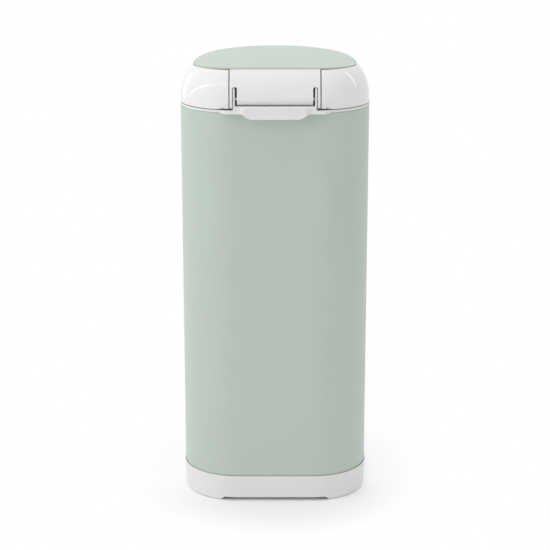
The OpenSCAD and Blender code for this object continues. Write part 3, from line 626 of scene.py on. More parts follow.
def base_band():
    """Rings of the band from its bottom edge up the outside, over the lip, down the sleeve's
    groove, over the inner rim and down the inside. The draft moves the outside in by its share of
    the depth below the top edge, and the lowest ring is drawn in a little more, to break the edge."""
    low = low_edge[None]
    levels = np.concatenate([[0.0, 0.25 / 35], np.linspace(0.06, 1, 14)])[:, None]
    crest = BASE_TOP - LINE_GAP
    outside = low + (crest - LIP_R - low) * levels
    inset = -BASE_PROUD + BASE_DRAFT * (crest - outside) / crest
    inset[0] += EDGE_IN
    turn = np.linspace(0.25, 1, 4)[:, None] * math.pi / 2
    lip = np.hstack([-BASE_PROUD + LIP_R * (1 - np.cos(turn)), crest - LIP_R + LIP_R * np.sin(turn)])
    inner, rim = FOOT_IN + 0.2, BASE_TOP - 2.0
    groove = [[-0.25, crest], [-0.1, crest - 0.2], [-0.1, GROOVE_Z], [inner, GROOVE_Z]]
    inside = [[inner, rim - 0.2], [inner + 0.2, rim], [BASE_IN, rim]]
    level = np.vstack([lip, groove, inside])
    ones = np.ones((1, len(RING)))
    insets = np.vstack([inset, level[:, :1] * ones, BASE_IN * ones])
    heights = np.vstack([outside, level[:, 1:] * ones, low])
    x = RING[None, :, 0] - insets * RING_N[None, :, 0]
    y = RING[None, :, 1] - insets * RING_N[None, :, 1]
    return np.stack([x, y, heights], axis=-1)


band = grid_piece("base_band", base_band(), wrap_rows=True, wrap_columns=True, sharp=40.0)
dress(band, "pail", "satin_white", "base_moulding")

# %% [markdown]
# ### Inside of the base
# The base's floor, posts and foot pockets are never seen from beside it, and the CAD node already
# has them right. So its own mesh is kept, without the outer wall that the new band replaces.

# %% Inside of the base
def places(mesh):
    """All corner points of a mesh, in millimetres, one row each."""
    flat = np.empty(len(mesh.vertices) * 3)
    mesh.vertices.foreach_get("co", flat)
    return flat.reshape(-1, 3) / MM


def inner_part(name, node, deepest):
    """A copy of the CAD node without its outer wall: it keeps each triangle that reaches further in
    than `deepest` from the outline, measured along the nearest outline normal."""
    piece = bpy.data.objects.new(name, frame["nodes"][node].data.copy())
    bpy.context.scene.collection.objects.link(piece)
    flat = places(piece.data)[:, :2]
    nearest = ((flat[:, None] - RING[None]) ** 2).sum(-1).argmin(1)
    inset = ((RING[nearest] - flat) * RING_N[nearest]).sum(1)
    corners = np.empty(len(piece.data.loops), int)
    piece.data.loops.foreach_get("vertex_index", corners)
    depth = inset[corners].reshape(-1, 3)
    outer = np.flatnonzero((depth.max(1) < deepest) | (depth.min(1) < deepest - 0.6))
    work = bmesh.new()
    work.from_mesh(piece.data)
    work.faces.ensure_lookup_table()
    bmesh.ops.delete(work, geom=[work.faces[i] for i in outer], context="FACES")
    work.to_mesh(piece.data)
    work.free()
    return piece


inside = inner_part("base_inside", "base_moulding", BASE_IN + 0.05)
dress(inside, "pail", "satin_white", "base_moulding")

# %% [markdown]
# ## Collar
# The collar closes the sleeve's raw edge. Round most of the bin it is a thin band. Behind the hinge
# it grows into a ledge, and a tab hangs from the ledge. Ledge and tab are one surface: a section in
# (y, z) whose reach, top and bottom change smoothly with x.

# %% Collar band
COLLAR_LOW, COLLAR_PROUD, COLLAR_T = SLEEVE_TOP + 1.1, 0.5, 2.0
SHELF_IN, SKIRT_IN, SKIRT_OUT, SKIRT_LOW = 9.0, 3.2, 1.0, SLEEVE_TOP - 20
collar_section = rounded([
    [-COLLAR_PROUD, COLLAR_LOW, 0.3], [-COLLAR_PROUD, COLLAR_TOP, 0.4],
    [SHELF_IN, COLLAR_TOP, 0.8], [SHELF_IN, COLLAR_TOP - COLLAR_T, 0.3],
    [SKIRT_IN, COLLAR_TOP - COLLAR_T, 1.0], [SKIRT_IN, SKIRT_LOW, 0.5],
    [SKIRT_OUT, SKIRT_LOW, 0.3], [SKIRT_OUT, COLLAR_LOW, 0],
])
collar = grid_piece("collar_band", round_body(collar_section), wrap_rows=True, wrap_columns=True)
print("collar band faces", len(collar.data.polygons))

# %% Shoulder curve
SHOULDER_IN, SHOULDER_UP, SHOULDER_Z = 30.0, 45.5, HEAD_BOTTOM + 6.2


def shoulder(turn, depth=0.0):
    """(inset, z) of the shoulder's ellipse at a turn from its foot, moved inwards by depth."""
    inset = SHOULDER_IN * (1 - np.cos(turn)) + depth * np.cos(turn)
    return np.column_stack([inset, SHOULDER_Z + SHOULDER_UP * np.sin(turn) - depth * np.sin(turn)])


print("the shoulder rises from", SHOULDER_Z, "to", shoulder(np.array([math.pi / 2]))[0, 1])

# %% Soft ramp and the back corner
def eased(k, low, high):
    """The ramp k held between 0 and 1. Parabolas that reach `low` and `high` to each side of the two
    limits round its corners."""
    k = np.minimum(k, 1) - np.clip(high - np.abs(k - 1), 0, None) ** 2 / (4 * high)
    return np.maximum(k, 0) + np.clip(low - np.abs(k), 0, None) ** 2 / (4 * low)


def corner_y(x):
    """How far back the outline reaches at x: the corner's centre plus the root of REAR_R squared
    less the square of how far x lies past that centre."""
    past = np.clip(x - REAR_C[0], 0, None)
    return REAR_C[1] + np.sqrt(np.maximum(REAR_R**2 - past**2, 0))


print("at x = 60 and 100 the back reaches y =", corner_y(np.array([60.0, 100.0])).round(1).tolist())

# %% Ledge and tab
LEDGE_X, LEDGE_FULL, LEDGE_OUT, LEDGE_TOP = 70.5, 63.0, 7.0, PIN_Z - 8.4
TAB_OUT, TAB_TOP_X, TAB_LOW_X, TAB_LOW = 10.4, 41.5, 33.0, SLEEVE_TOP - 6.5
CENTRE_X, BAND_OUT = 52.0, 0.45
LOW_R, TOP_R, BEAD = 1.2, 0.9, 0.6


def ledge_grid(columns=221, steps=6):
    """For each x, a closed section in (y, z): under the ledge, round its lower outer edge, up to
    its top and back to the block in front. A bead runs along the lower edge. The reach fades in over
    the last millimetres of the ledge, the top steps up in the middle, and the tab's bottom follows a
    trapezium with rounded corners."""
    x = np.linspace(-LEDGE_X, LEDGE_X, columns)
    a = np.abs(x)
    side_y = corner_y(a)
    present = np.clip((LEDGE_X - a) / (LEDGE_X - LEDGE_FULL), 0, 1)
    tab = eased((TAB_TOP_X - a) / (TAB_TOP_X - TAB_LOW_X), 0.2, 0.55)
    beyond = (TAB_OUT - LEDGE_OUT) * smooth_step((TAB_TOP_X + 5 - a) / 8.0)
    out = BAND_OUT + (LEDGE_OUT - BAND_OUT) * present + beyond
    face = HALF_D * present + side_y * (1 - present) + out
    face = np.minimum(face, HALF_D + TAB_OUT)
    step = COLLAR_TOP - 0.3
    top = step + (LEDGE_TOP - step) * smooth_step((CENTRE_X - a) / 1.2 + 0.5)
    low = SLEEVE_TOP + 0.05 - (SLEEVE_TOP - TAB_LOW) * tab
    turn = np.linspace(0, math.pi / 2, steps + 1)[:, None]
    lower_y = face + BEAD * present - LOW_R + LOW_R * np.sin(turn)
    lower_z = low + LOW_R - LOW_R * np.cos(turn)
    upper_y, upper_z = face - TOP_R + TOP_R * np.cos(turn), top - TOP_R + TOP_R * np.sin(turn)
    front = np.full_like(x, HALF_D - 17.0)
    under = np.full_like(x, SLEEVE_TOP + 0.1)
    skin = side_y + 0.35
    ys = np.vstack([skin, lower_y, face, upper_y, front + 0.6, front, front, skin])
    zs = np.vstack([low, lower_z, low + LOW_R + TOP_R, upper_z, top, top - 0.6, under, under])
    return np.stack([np.broadcast_to(x, ys.shape), ys, zs], axis=-1)


ledge = grid_piece("collar_ledge", ledge_grid(), wrap_rows=True, cap="columns", sharp=50.0)
print("ledge faces", len(ledge.data.polygons))

# %% [markdown]
# ### Ears and pits
# Two ears stand up from the ledge, in slots of the hinge block, and carry the hinge pin. Beside them
# the head's foot is lifted so that it can swing, and the ledge has a shallow pit there. An ear is a
# slab with rounded rims, and the pits are cut.

# %% Ears
EAR_R, EAR_FRONT = 15.0, HALF_D - 16.0
EAR_X, EAR_T = 50.4, 3.0


def ear_outline(clear=0.3, steps=40):
    """The outline of an ear in (y, z): up the back just inside the head's curve, then round the pin
    at radius EAR_R to the straight front, and down into the ledge."""
    back = shoulder(np.linspace(0, math.pi / 3, 60))
    back = np.column_stack([HALF_D - clear - back[:, 0], back[:, 1]])
    back = back[np.hypot(back[:, 0] - PIN_Y, back[:, 1] - PIN_Z) < EAR_R]
    first = math.atan2(back[-1, 1] - PIN_Z, back[-1, 0] - PIN_Y) + 0.03
    turn = np.linspace(first, math.pi + math.acos((PIN_Y - EAR_FRONT) / EAR_R), steps)
    arc = np.column_stack([PIN_Y + EAR_R * np.cos(turn), PIN_Z + EAR_R * np.sin(turn)])
    foot = SLEEVE_TOP + 1
    return np.vstack([[HALF_D - clear, foot], back, arc, [EAR_FRONT, foot]])


def both_sides(near, far):
    """Two spans of x, left and right, each from the lower value to the higher."""
    return {side: sorted((side * near, side * far)) for side in (-1, 1)}


ears = [across(f"ear_{side}", ear_outline(), *span, edge=1.4)
    for side, span in both_sides(EAR_X, EAR_X + EAR_T).items()]
print("ears between x =", list(both_sides(EAR_X, EAR_X + EAR_T).values()))

# %% Pits and the whole collar
PIT_START, PIT_END, PIT_FRONT, PIT_DEEP, PIT_WALL = 53.7, 67.5, HALF_D - 12.0, 2.4, 0.9


def pit(side):
    """The hollow in the collar's top under the head's lifted foot: a prism whose plan follows the
    back corner, PIT_WALL in from it, from beside the ear to PIT_END."""
    x = np.linspace(PIT_START, PIT_END, 12)
    back = np.column_stack([x, corner_y(x) - PIT_WALL])
    plan = np.vstack([back, [[PIT_END, PIT_FRONT], [PIT_START, PIT_FRONT]]]) * [side, 1]
    x, z = np.meshgrid(plan[:, 0], [COLLAR_TOP - PIT_DEEP, COLLAR_TOP + 2.0])
    grid = np.stack([x, np.broadcast_to(plan[:, 1], x.shape), z], axis=-1)
    return grid_piece(f"pit_{side}", grid, wrap_columns=True, cap="rows")


for part in (collar, ledge):
    cut(part, pit(1), pit(-1))
collar = joined("collar", collar, ledge, *ears, sharp=40.0)
dress(collar, "pail", "satin_white", "collar")

# %% [markdown]
# ## Domed head
# The head is a moulded ring: a short upright wall, an elliptical shoulder and a rim with an inner
# lip. It is carried round the outline like the other walls, but it stops at the hinge block. The
# ends must be flat, so on the back corners each inset gets the turn at which it meets that plane.

# %% Head section
HEAD_WALL, SHOULDER_TURN = 2.6, math.radians(62.5)
RIM_W, LID_GAP, LIP_DROP, LIP_IN = 1.3, 0.6, 7.8, 3.8
RIM_IN = SHOULDER_IN * (1 - math.cos(SHOULDER_TURN)) + RIM_W
RIM_Z = shoulder(np.array([SHOULDER_TURN]))[0, 1]
LID_IN = RIM_IN + LID_GAP


def head_section(steps=26):
    """The head's closed section: up the outside, over the rounded rim, down the inner lip and back
    down the inside."""
    foot = rounded([[HEAD_WALL, HEAD_BOTTOM, 0.4], [0, HEAD_BOTTOM, 0.3], [0, SHOULDER_Z, 0]])[:-1]
    wall = np.column_stack([np.zeros(5), HEAD_BOTTOM + np.linspace(1.5, 5.5, 5)])
    outside = shoulder(np.linspace(0, SHOULDER_TURN, steps))
    rim = rounded([
        [outside[-1, 0], RIM_Z, 0], [RIM_IN, RIM_Z + 0.35, 0.6],
        [RIM_IN, RIM_Z - LIP_DROP, 0.4], [RIM_IN - LIP_IN, RIM_Z - LIP_DROP, 0.4],
    ])[1:]
    under = shoulder(np.linspace(math.radians(46), 0, 14), HEAD_WALL)
    return np.vstack([foot, wall, outside, rim, under])


print("points in the head's section:", len(head_section()), "rim at", RIM_Z)

# %% Outline with a gap for the hinge
BLOCK_X, SEAM = 57.3, 1.2
KNUCKLE_X, KNUCKLE_T = BLOCK_X + SEAM, 6.0
AFTER_BACK = SIDE_COUNT + 2 * (CORNER_STEPS + 1) + BACK_COUNT
MIDDLE = np.r_[AFTER_BACK : len(RING), 0:SIDE_COUNT]


def open_body(section, gap_x, corner=26):
    """Carries a section round the outline without the part of the back between -gap_x and gap_x. At
    inset s a back corner's radius is REAR_R - s, so it meets that plane at the turn whose cosine
    is (gap_x - corner centre) / (REAR_R - s)."""
    s, z = section[:, :1], section[:, 1:]
    k = np.linspace(0, 1, corner)[None]
    radius = REAR_R - s
    reach = np.arccos((gap_x - REAR_C[0]) / radius)
    left, right = math.pi - reach * (1 - k), reach * k
    middle = RING[MIDDLE][None] - s[..., None] * RING_N[MIDDLE][None]
    cx, cy = REAR_C
    x = np.hstack([-cx + radius * np.cos(left), middle[..., 0], cx + radius * np.cos(right)])
    y = np.hstack([cy + radius * np.sin(left), middle[..., 1], cy + radius * np.sin(right)])
    return np.stack([x, y, np.broadcast_to(z, x.shape)], axis=-1)


head_grid = open_body(head_section(), KNUCKLE_X)
print("head grid:", head_grid.shape[:2], "ends at x =", head_grid[:, 0, 0].max())

# %% Clear of the collar
SWING_R = 13.0
CURL_IN, CURL_UP, CURL_X, CURL_FADE = 2.2, 6.0, 76.0, 12.0
REAR_RISE, RISE_FROM, RISE_RUN = 0.9, 45.0, 55.0


def rear_rise(y):
    """How much the rim and the lid stand higher at the back than at the sides: a soft step that
    begins at RISE_FROM and is complete RISE_RUN further back."""
    return REAR_RISE * smooth_step((y - RISE_FROM) / RISE_RUN)


def up_the_shoulder(z):
    """0 at the shoulder's foot and below it, 1 at the rim, even in between."""
    return np.clip((z - SHOULDER_Z) / (RIM_Z - SHOULDER_Z), 0, 1)


def clear_of_collar(grid):
    """Lifts the foot of the wall behind the hinge's axis. There it swings down past the collar, so
    it may reach no further from the pin than SWING_R. The lift fades out up to the shoulder. Beside
    the ears the foot also curls in, by CURL_IN at the edge and less by the square of the height,
    and the rim takes the rise towards the back."""
    y, z = grid[..., 1], grid[..., 2]
    past = np.clip(y - PIN_Y, 0, SWING_R - 1)
    floor = PIN_Z - np.sqrt(SWING_R**2 - past**2)
    lift = np.where(y > PIN_Y, np.maximum(floor - HEAD_BOTTOM, 0), 0)
    raised = z + lift * np.clip((SHOULDER_Z - z) / (SHOULDER_Z - HEAD_BOTTOM), 0, 1)
    above = np.clip((raised - HEAD_BOTTOM - lift) / CURL_UP, 0, 1)
    beside = smooth_step((CURL_X - np.abs(grid[..., 0])) / CURL_FADE)
    rise = rear_rise(y) * up_the_shoulder(raised)
    moved = y - np.where(y > 0, CURL_IN * (1 - above) ** 2 * beside, 0)
    return np.stack([grid[..., 0], moved, raised + rise], axis=-1)


head_grid = clear_of_collar(head_grid)
head = grid_piece("head_shell", head_grid, wrap_rows=True, cap="columns", sharp=40.0)
print("head from", head_grid[..., 2].min(), "to", head_grid[..., 2].max(), "mm")

# %% Window for the latch button
BUTTON_X, BUTTON_GAP = 16.0, 0.4
BUTTON_LOW, BUTTON_HIGH = HEAD_BOTTOM + 5.0, HEAD_BOTTOM + 17.0


def slab(name, x, y, z, edge=0.0):
    """A plain block between two values on each axis."""
    corners = [[y[0], z[0]], [y[1], z[0]], [y[1], z[1]], [y[0], z[1]]]
    return across(name, corners, *x, edge=edge, steps=1)


window_x = BUTTON_X + BUTTON_GAP
cut(head, slab("window", (-window_x, window_x), (-HALF_D - 5, -HALF_D + 10),
    (BUTTON_LOW - BUTTON_GAP, BUTTON_HIGH + BUTTON_GAP)))
print("window", 2 * window_x, "mm wide")


# %% Knuckles beside the hinge block
def knuckle_outline():
    """The wall that closes the head beside the hinge block, in (y, z): foot, back, shoulder, front."""
    past = np.linspace(0, HALF_D - HEAD_WALL / 2 - PIN_Y, 8)
    foot = np.column_stack([PIN_Y + past, PIN_Z - np.sqrt(SWING_R**2 - past**2) + 0.2])
    foot[:, 1] = np.maximum(foot[:, 1], HEAD_BOTTOM)
    turn = np.radians(np.linspace(2, 48, 24))
    back = shoulder(turn)
    back = np.column_stack([HALF_D - back[:, 0] - HEAD_WALL / 2, back[:, 1] - HEAD_WALL / 4])
    return np.vstack([[PIN_Y - 14, HEAD_BOTTOM], foot, back, [PIN_Y - 14, back[-1, 1]]])


knuckles = [across(f"knuckle_{side}", knuckle_outline(), *span, edge=0.3)
    for side, span in both_sides(KNUCKLE_X + 0.05, KNUCKLE_X + KNUCKLE_T).items()]
head = joined("head_dome_skin", head, *knuckles, sharp=40.0)
dress(head, "head", "gloss_white", "head_dome")

# %% [markdown]
# ## Lid panel
# The lid's painted steel panel is crowned like a shallow pillow, so that it sheds water and doesn't
# drum. Its height is a sum: a level, a fall to the sides that grows with the square of x, a fall to
# the front in proportion to y, the rise at the back, and the crown, which is 1 - t squared, where t
# runs from 0 in the middle to 1 at the edge.

# %% Height of the lid
PANEL_Z = RIM_Z + 3.2
SIDE_FALL, FRONT_FALL, CROWN = 1.4, 2.2, 4.5


def lid_height(x, y, t):
    """Height of the crowned surface over (x, y), at the share t of the way from middle to edge."""
    side = SIDE_FALL * (x / (HALF_W - LID_IN)) ** 2
    front = FRONT_FALL * (HALF_D - LID_IN - y) / (BODY_D - 2 * LID_IN)
    return PANEL_Z - side - front + CROWN * (1 - t * t) + rear_rise(y)


print("top of the lid:", lid_height(0.0, 0.0, 0.0))

# %% Crowned sheets
PANEL_T, FRAME_T, HEM_T = 1.2, 2.2, 0.9


def crowned(name, inset, drop, thickness, edge=0.35, hem=0.0, sharp=35.0):
    """A crowned sheet. Rows run from the middle of the top out to the edge, round the edge's quarter
    rounds and back to the middle underneath. Each row is the inset outline scaled by t. A hem is a
    lip HEM_T thick that hangs that much lower at the edge."""
    flat = np.array([0.0, 0.08, 0.2, 0.35, 0.5, 0.65, 0.8, 0.9, 0.96])
    turn = np.linspace(0, math.pi / 2, 4)
    lip = np.array([HEM_T, HEM_T]) if hem else np.zeros(0)
    t = np.concatenate([flat, np.ones(2 * len(turn) + len(lip)), flat[::-1]])
    near, far = edge * (1 - np.sin(turn)), edge * (1 - np.cos(turn))
    pull = np.concatenate([0 * flat, near, far, lip, 0 * flat])
    low = thickness + hem
    inner = [low, thickness][: len(lip)]
    down = np.concatenate([0 * flat, far, low - near, inner, 0 * flat + thickness])
    base = RING - inset * RING_N
    x = t[:, None] * base[None, :, 0] - pull[:, None] * RING_N[None, :, 0]
    y = t[:, None] * base[None, :, 1] - pull[:, None] * RING_N[None, :, 1]
    z = lid_height(x, y, t[:, None]) - drop - down[:, None]
    return grid_piece(name, np.stack([x, y, z], axis=-1), wrap_columns=True, sharp=sharp)


panel = crowned("lid_panel_skin", LID_IN, 0.0, PANEL_T, hem=1.0)
dress(panel, "lid", "sage_paint", "lid_panel")

# %% [markdown]
# ## Lid frame and hinge block
# Under the panel lies a moulded plate. At the back it grows into the hinge block, whose outer wall
# carries the shoulder's curve on across the gap and ends in the barrel round the pin. The parts are
# solids that are joined exactly, and then the ears' slots and the pin's bore are cut.

# %% Frame plate and tube
THROAT = np.array([0.0, -12.0])
LINER_TOP = top_of("lid_liner")
TUBE_OUT, TUBE_IN, TUBE_TOP = 82.0, 79.5, PANEL_Z - 2.9
BESIDE_BLOCK = (PIN_Y - 25, PIN_Y + 40), (500, 640)  # spans of y and z that the corners' cut takes
plate = crowned("lid_frame_skin", LID_IN + 1.3, PANEL_T + 0.1, FRAME_T, edge=0.3)
cut(plate, *[slab(f"corner_{side}", span, *BESIDE_BLOCK)
    for side, span in both_sides(BLOCK_X, BODY_W).items()])


def turned(name, section, centre=THROAT, count=96, sharp=35.0):
    """A closed section of (radius, z) carried round an upright axis."""
    turn = np.linspace(0, 2 * math.pi, count, endpoint=False)
    r, z = section[:, :1], section[:, 1:]
    x, y = centre[0] + r * np.cos(turn), centre[1] + r * np.sin(turn)
    grid = np.stack([x, y, np.broadcast_to(z, x.shape)], axis=-1)
    return grid_piece(name, grid, wrap_rows=True, wrap_columns=True, sharp=sharp)


frame_tube = turned("frame_tube", rounded([
    [TUBE_OUT, LINER_TOP, 0.3], [TUBE_OUT, TUBE_TOP, 0],
    [TUBE_IN, TUBE_TOP, 0], [TUBE_IN, LINER_TOP, 0.3],
]))
print("plate faces", len(plate.data.polygons), "tube faces", len(frame_tube.data.polygons))

# %% Outline of the hinge block
BARREL_R = 8.0
BLOCK_TOP = lid_height(BLOCK_X, HALF_D - LID_IN, 1.0) - PANEL_T - 0.1
BARREL_EASE = 12.0  # height over which the wall leans out to the barrel's back


def disc(radius, first=0.0, last=360.0, count=48, centre=(PIN_Y, PIN_Z)):
    """Points of an arc in (y, z) round the pin, from one angle to another in degrees."""
    turn = np.radians(np.linspace(first, last, count))
    return np.column_stack([centre[0] + radius * np.cos(turn), centre[1] + radius * np.sin(turn)])


def block_back(depth=0.0, count=28):
    """The block's outer wall in (y, z), from the pin's level up: the shoulder's ellipse, eased out
    to the barrel's back at the bottom, so that barrel and wall are one smooth line, and raised
    towards its top as the rim is."""
    start = math.asin((PIN_Z - SHOULDER_Z) / SHOULDER_UP)
    line = shoulder(np.linspace(start, SHOULDER_TURN, count), depth)
    y, z = HALF_D - line[:, 0], line[:, 1]
    lean = (PIN_Y + BARREL_R - depth - y[0]) * (1 - smooth_step((z - PIN_Z) / BARREL_EASE))
    return np.column_stack([y + lean, z + REAR_RISE * up_the_shoulder(z)])


def block_outline():
    """The block's full outline: barrel bottom, outer wall, top, and down to the inner side."""
    front_y, top_y = PIN_Y - BARREL_R, HALF_D - LID_IN + 0.1
    top = [[top_y, BLOCK_TOP], [front_y, BLOCK_TOP], [front_y, PIN_Z]]
    return np.vstack([disc(BARREL_R, -90, -3, 24), block_back(), top, disc(BARREL_R, 180, 264, 20)])


block = across("hinge_block", block_outline(), -BLOCK_X, BLOCK_X, edge=0.8, steps=4)
print("block", 2 * BLOCK_X, "mm wide, top at", BLOCK_TOP)

# %% Cuts and cheeks of the hinge block
BARREL_X, WALL_IN, HOLLOW_Z = 48.0, 5.0, PIN_Z + 9.5
SLOT_R, SLOT_W, CHEEK_R = EAR_R + 1.2, 6.0, SWING_R - 0.3
SLOT_X, SHELF_T = BARREL_X + SLOT_W, 4.0
PIN_GAP, hollow_y = 0.06, PIN_Y - 40
hollow_front = [[hollow_y, BLOCK_TOP - SHELF_T - 0.05], [hollow_y, HOLLOW_Z], [PIN_Y, HOLLOW_Z]]
hollow_line = np.vstack([block_back(WALL_IN, 20)[5:], hollow_front])
hollow = across("hollow", hollow_line, -SLOT_X, SLOT_X, edge=0.0)
slots = [across(f"slot_{side}", disc(SLOT_R, 0, 352.5), *span, edge=1.8)
    for side, span in both_sides(BARREL_X, SLOT_X).items()]
shelf = slab("shelf", (-BLOCK_X, BLOCK_X), (PIN_Y - 31, HALF_D - LID_IN - 1),
    (BLOCK_TOP - SHELF_T, BLOCK_TOP - 0.02), edge=0.4)
below = math.degrees(math.acos(BARREL_R / CHEEK_R))
cheek_line = np.vstack([[PIN_Y - CHEEK_R, PIN_Z + 1], disc(CHEEK_R, -180, -below, 30),
    [PIN_Y + BARREL_R - 0.02, PIN_Z + 1]])
cheeks = [across(f"cheek_{side}", cheek_line, *span, edge=0.3)
    for side, span in both_sides(SLOT_X, BLOCK_X).items()]
bore = across("bore", disc(PIN_R + PIN_GAP, 0, 350, 36), -BLOCK_X - 2, BLOCK_X + 2, edge=0.0)
cut(block, hollow, *slots)
cut(block, shelf, *cheeks, operation="UNION")
cut(block, bore)
print("hinge block faces", len(block.data.polygons))

# %% [markdown]
# ### Lift arm and screw bosses
# The push rod lifts the lid by an arm in front of the hinge. Its working face is an involute, the
# curve that a taut thread's end draws when it is unwound from a drum, so the rod rises in proportion
# to the lid's turn. Four round bosses take the screws that hold the inner liner.

# %% Lift arm
LIFT_R, ROD_TIP, LID_OPEN, ARM_X = 18.0, 1.2, 78.0, 4.0


def arm_outline():
    """The lift arm in (y, z). Its working face is an involute of a circle of radius LIFT_R round the
    pin: at turn a it is the point at height LIFT_R * a, turned back by a. So the rod's rise is
    LIFT_R times the lid's turn."""
    a = np.radians(np.linspace(0, LID_OPEN, 27))
    first = ROD_TIP + 0.3
    height = first + LIFT_R * a
    y = PIN_Y - LIFT_R * np.cos(a) - height * np.sin(a)
    z = PIN_Z - LIFT_R * np.sin(a) + height * np.cos(a)
    face, top, drum_y = np.column_stack([y, z]), BLOCK_TOP - 1, PIN_Y - LIFT_R
    back = [face[-1] - [4, 0], [drum_y - 17, PIN_Z], [drum_y - 15, top], [HALF_D - LID_IN - 2, top],
        [PIN_Y - 6, BLOCK_TOP - 14]]
    return np.vstack([[PIN_Y - 6, PIN_Z + first], face, back])


arm = across("lift_arm", arm_outline(), -ARM_X, ARM_X, edge=0.4, sharp=50.0)
print("lift arm faces", len(arm.data.polygons), "rod's rise", LIFT_R * math.radians(LID_OPEN), "mm")

# %% Screw bosses and the whole frame
BOSS_RING, BOSS_R = 68.0, 4.0
boss_corners = [BOSS_R, LINER_TOP], [BOSS_R, TUBE_TOP], [0.01, TUBE_TOP], [0.01, LINER_TOP]
boss_section = np.array(boss_corners)
bosses = []
for a in np.radians([45, 135, 225, 315]):
    centre = THROAT + BOSS_RING * np.array([math.cos(a), math.sin(a)])
    bosses.append(turned(f"boss_{len(bosses)}", boss_section, centre=centre, count=24))
frame_skin = joined("lid_frame_skin", plate, frame_tube, block, arm, *bosses, sharp=35.0)
dress(frame_skin, "lid", "gloss_white", "lid_frame")

# %% [markdown]
# ## Pedal pad and latch button
# Both follow the front bow. Each is a grid over its outline: the plan's own curve in front, straight
# sides, and quarter rounds at every edge, because these are the parts that shoes and fingers meet.

# %% Pads on the bow
def bow_pad(name, half_x, proud, back_y, z0, z1, edge, corner=3.0, columns=33):
    """A pad in plan: an arc of the bow, proud by some millimetres, between -half_x and half_x, with
    rounded front corners and a straight back. Rings of that plan, drawn in by the edge's quarter
    round at top and bottom, make the solid."""
    radius = BOW_R + proud
    x = np.linspace(-half_x, half_x, columns)
    y = BOW_C[1] - np.sqrt(radius**2 - x**2)
    soft = np.clip((np.abs(x) - half_x + corner) / corner, 0, 1)
    front = np.column_stack([x, y + corner * (1 - np.sqrt(1 - soft**2 * 0.96))])
    plan = np.vstack([front, [[half_x, back_y], [-half_x, back_y]]])
    turn = np.linspace(0, math.pi / 2, 5)
    inset = np.concatenate([edge * (1 - np.sin(turn)), edge * (1 - np.cos(turn))])
    z = np.concatenate([z0 + edge * (1 - np.cos(turn)), z1 - edge * (1 - np.sin(turn))])
    xy = plan[None] - inset[:, None, None] * corner_normals(plan)[None]
    grid = np.concatenate([xy, np.broadcast_to(z[:, None, None], xy.shape[:2] + (1,))], axis=-1)
    return grid_piece(name, grid, wrap_columns=True, cap="rows", sharp=40.0)


print("the bow's radius is", BOW_R, "mm round y =", BOW_C[1])

# %% Pedal pad
PAD_X, PAD_EDGE, ARM_POCKET_X, PAD_SKIN = 34.0, 1.4, 8.1, 0.9
RIB_X, RIB_R, RIB_PITCH = 24.0, 0.8, 4.0
(_, pad_front, pad_low), (_, _, pad_high) = np.array(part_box("pedal_pad")) / MM
pad_proud, pad_back = -HALF_D - pad_front, -HALF_D + 17
pad = bow_pad("pedal_pad_skin", PAD_X, pad_proud, pad_back, pad_low, pad_high, PAD_EDGE)
cut(pad, slab("pocket", (-ARM_POCKET_X, ARM_POCKET_X), (pad_front + 11.9, -HALF_D + 18),
    (pad_low - 1, pad_high - PAD_SKIN)))
ribs = []
for y in np.arange(pad_front + 6, -HALF_D + 14, RIB_PITCH):
    line = disc(RIB_R, 0, 180, 9, centre=(y, pad_high - 0.15))
    ribs.append(across(f"tread_{len(ribs)}", line, -RIB_X, RIB_X, edge=0.5))
pad = joined("pedal_pad_skin", pad, *ribs, sharp=40.0)
dress(pad, "pedal", "satin_white", "pedal_pad")

# %% Latch button
HOOK_GAP, HOOK_X = 0.3, 8.0
HOOK_Y = -HALF_D + SHELF_IN + HOOK_GAP
hook_span = (-HOOK_X, HOOK_X)
button = bow_pad("button_face", BUTTON_X, 1.0, HOOK_Y + 3, BUTTON_LOW, BUTTON_HIGH, 0.9, corner=1.2)
stem = slab("stem", hook_span, (HOOK_Y + 1, HOOK_Y + 3.5), (SLEEVE_TOP - 6, BUTTON_HIGH), edge=0.3)
tooth = slab("tooth", hook_span, (HOOK_Y, HOOK_Y + 2), (SLEEVE_TOP - 4, SLEEVE_TOP - 1), edge=0.3)
button = joined("release_button_skin", button, stem, tooth)
dress(button, "button", "grey_green", "release_button")

# %% [markdown]
# ## Springs
# The solids hold each spring as a plain sleeve of its outer size. Here each is a wire wound on a
# helix that fills that sleeve: a point turns round the axis while it moves along it, closer at the
# ends, as on a ground spring.

# %% One wound spring
AXES = {"x": 0, "y": 1, "z": 2}


def wound(name, start, axis, length, radius, wire, turns):
    """A helix round an axis. The angle runs evenly and the advance is slow in the first and last
    turn, so the end coils lie close: it is a small even part plus a soft step over the rest."""
    k = np.linspace(0, 1, int(turns * 22))
    advance = 0.12 * k + 0.88 * smooth_step((k - 0.08) / 0.84)
    along = AXES[axis]
    u, v = [i for i in range(3) if i != along]
    path = np.zeros((len(k), 3))
    path[:, along] = start[along] + wire + (length - 2 * wire) * advance
    path[:, u] = start[u] + (radius - wire) * np.cos(2 * math.pi * turns * k)
    path[:, v] = start[v] + (radius - wire) * np.sin(2 * math.pi * turns * k)
    return grid_piece(name, tube(path, wire, 8), wrap_columns=True, cap="rows", sharp=60.0)


print("a spring of 6 turns has", 6 * 22, "points along its wire")


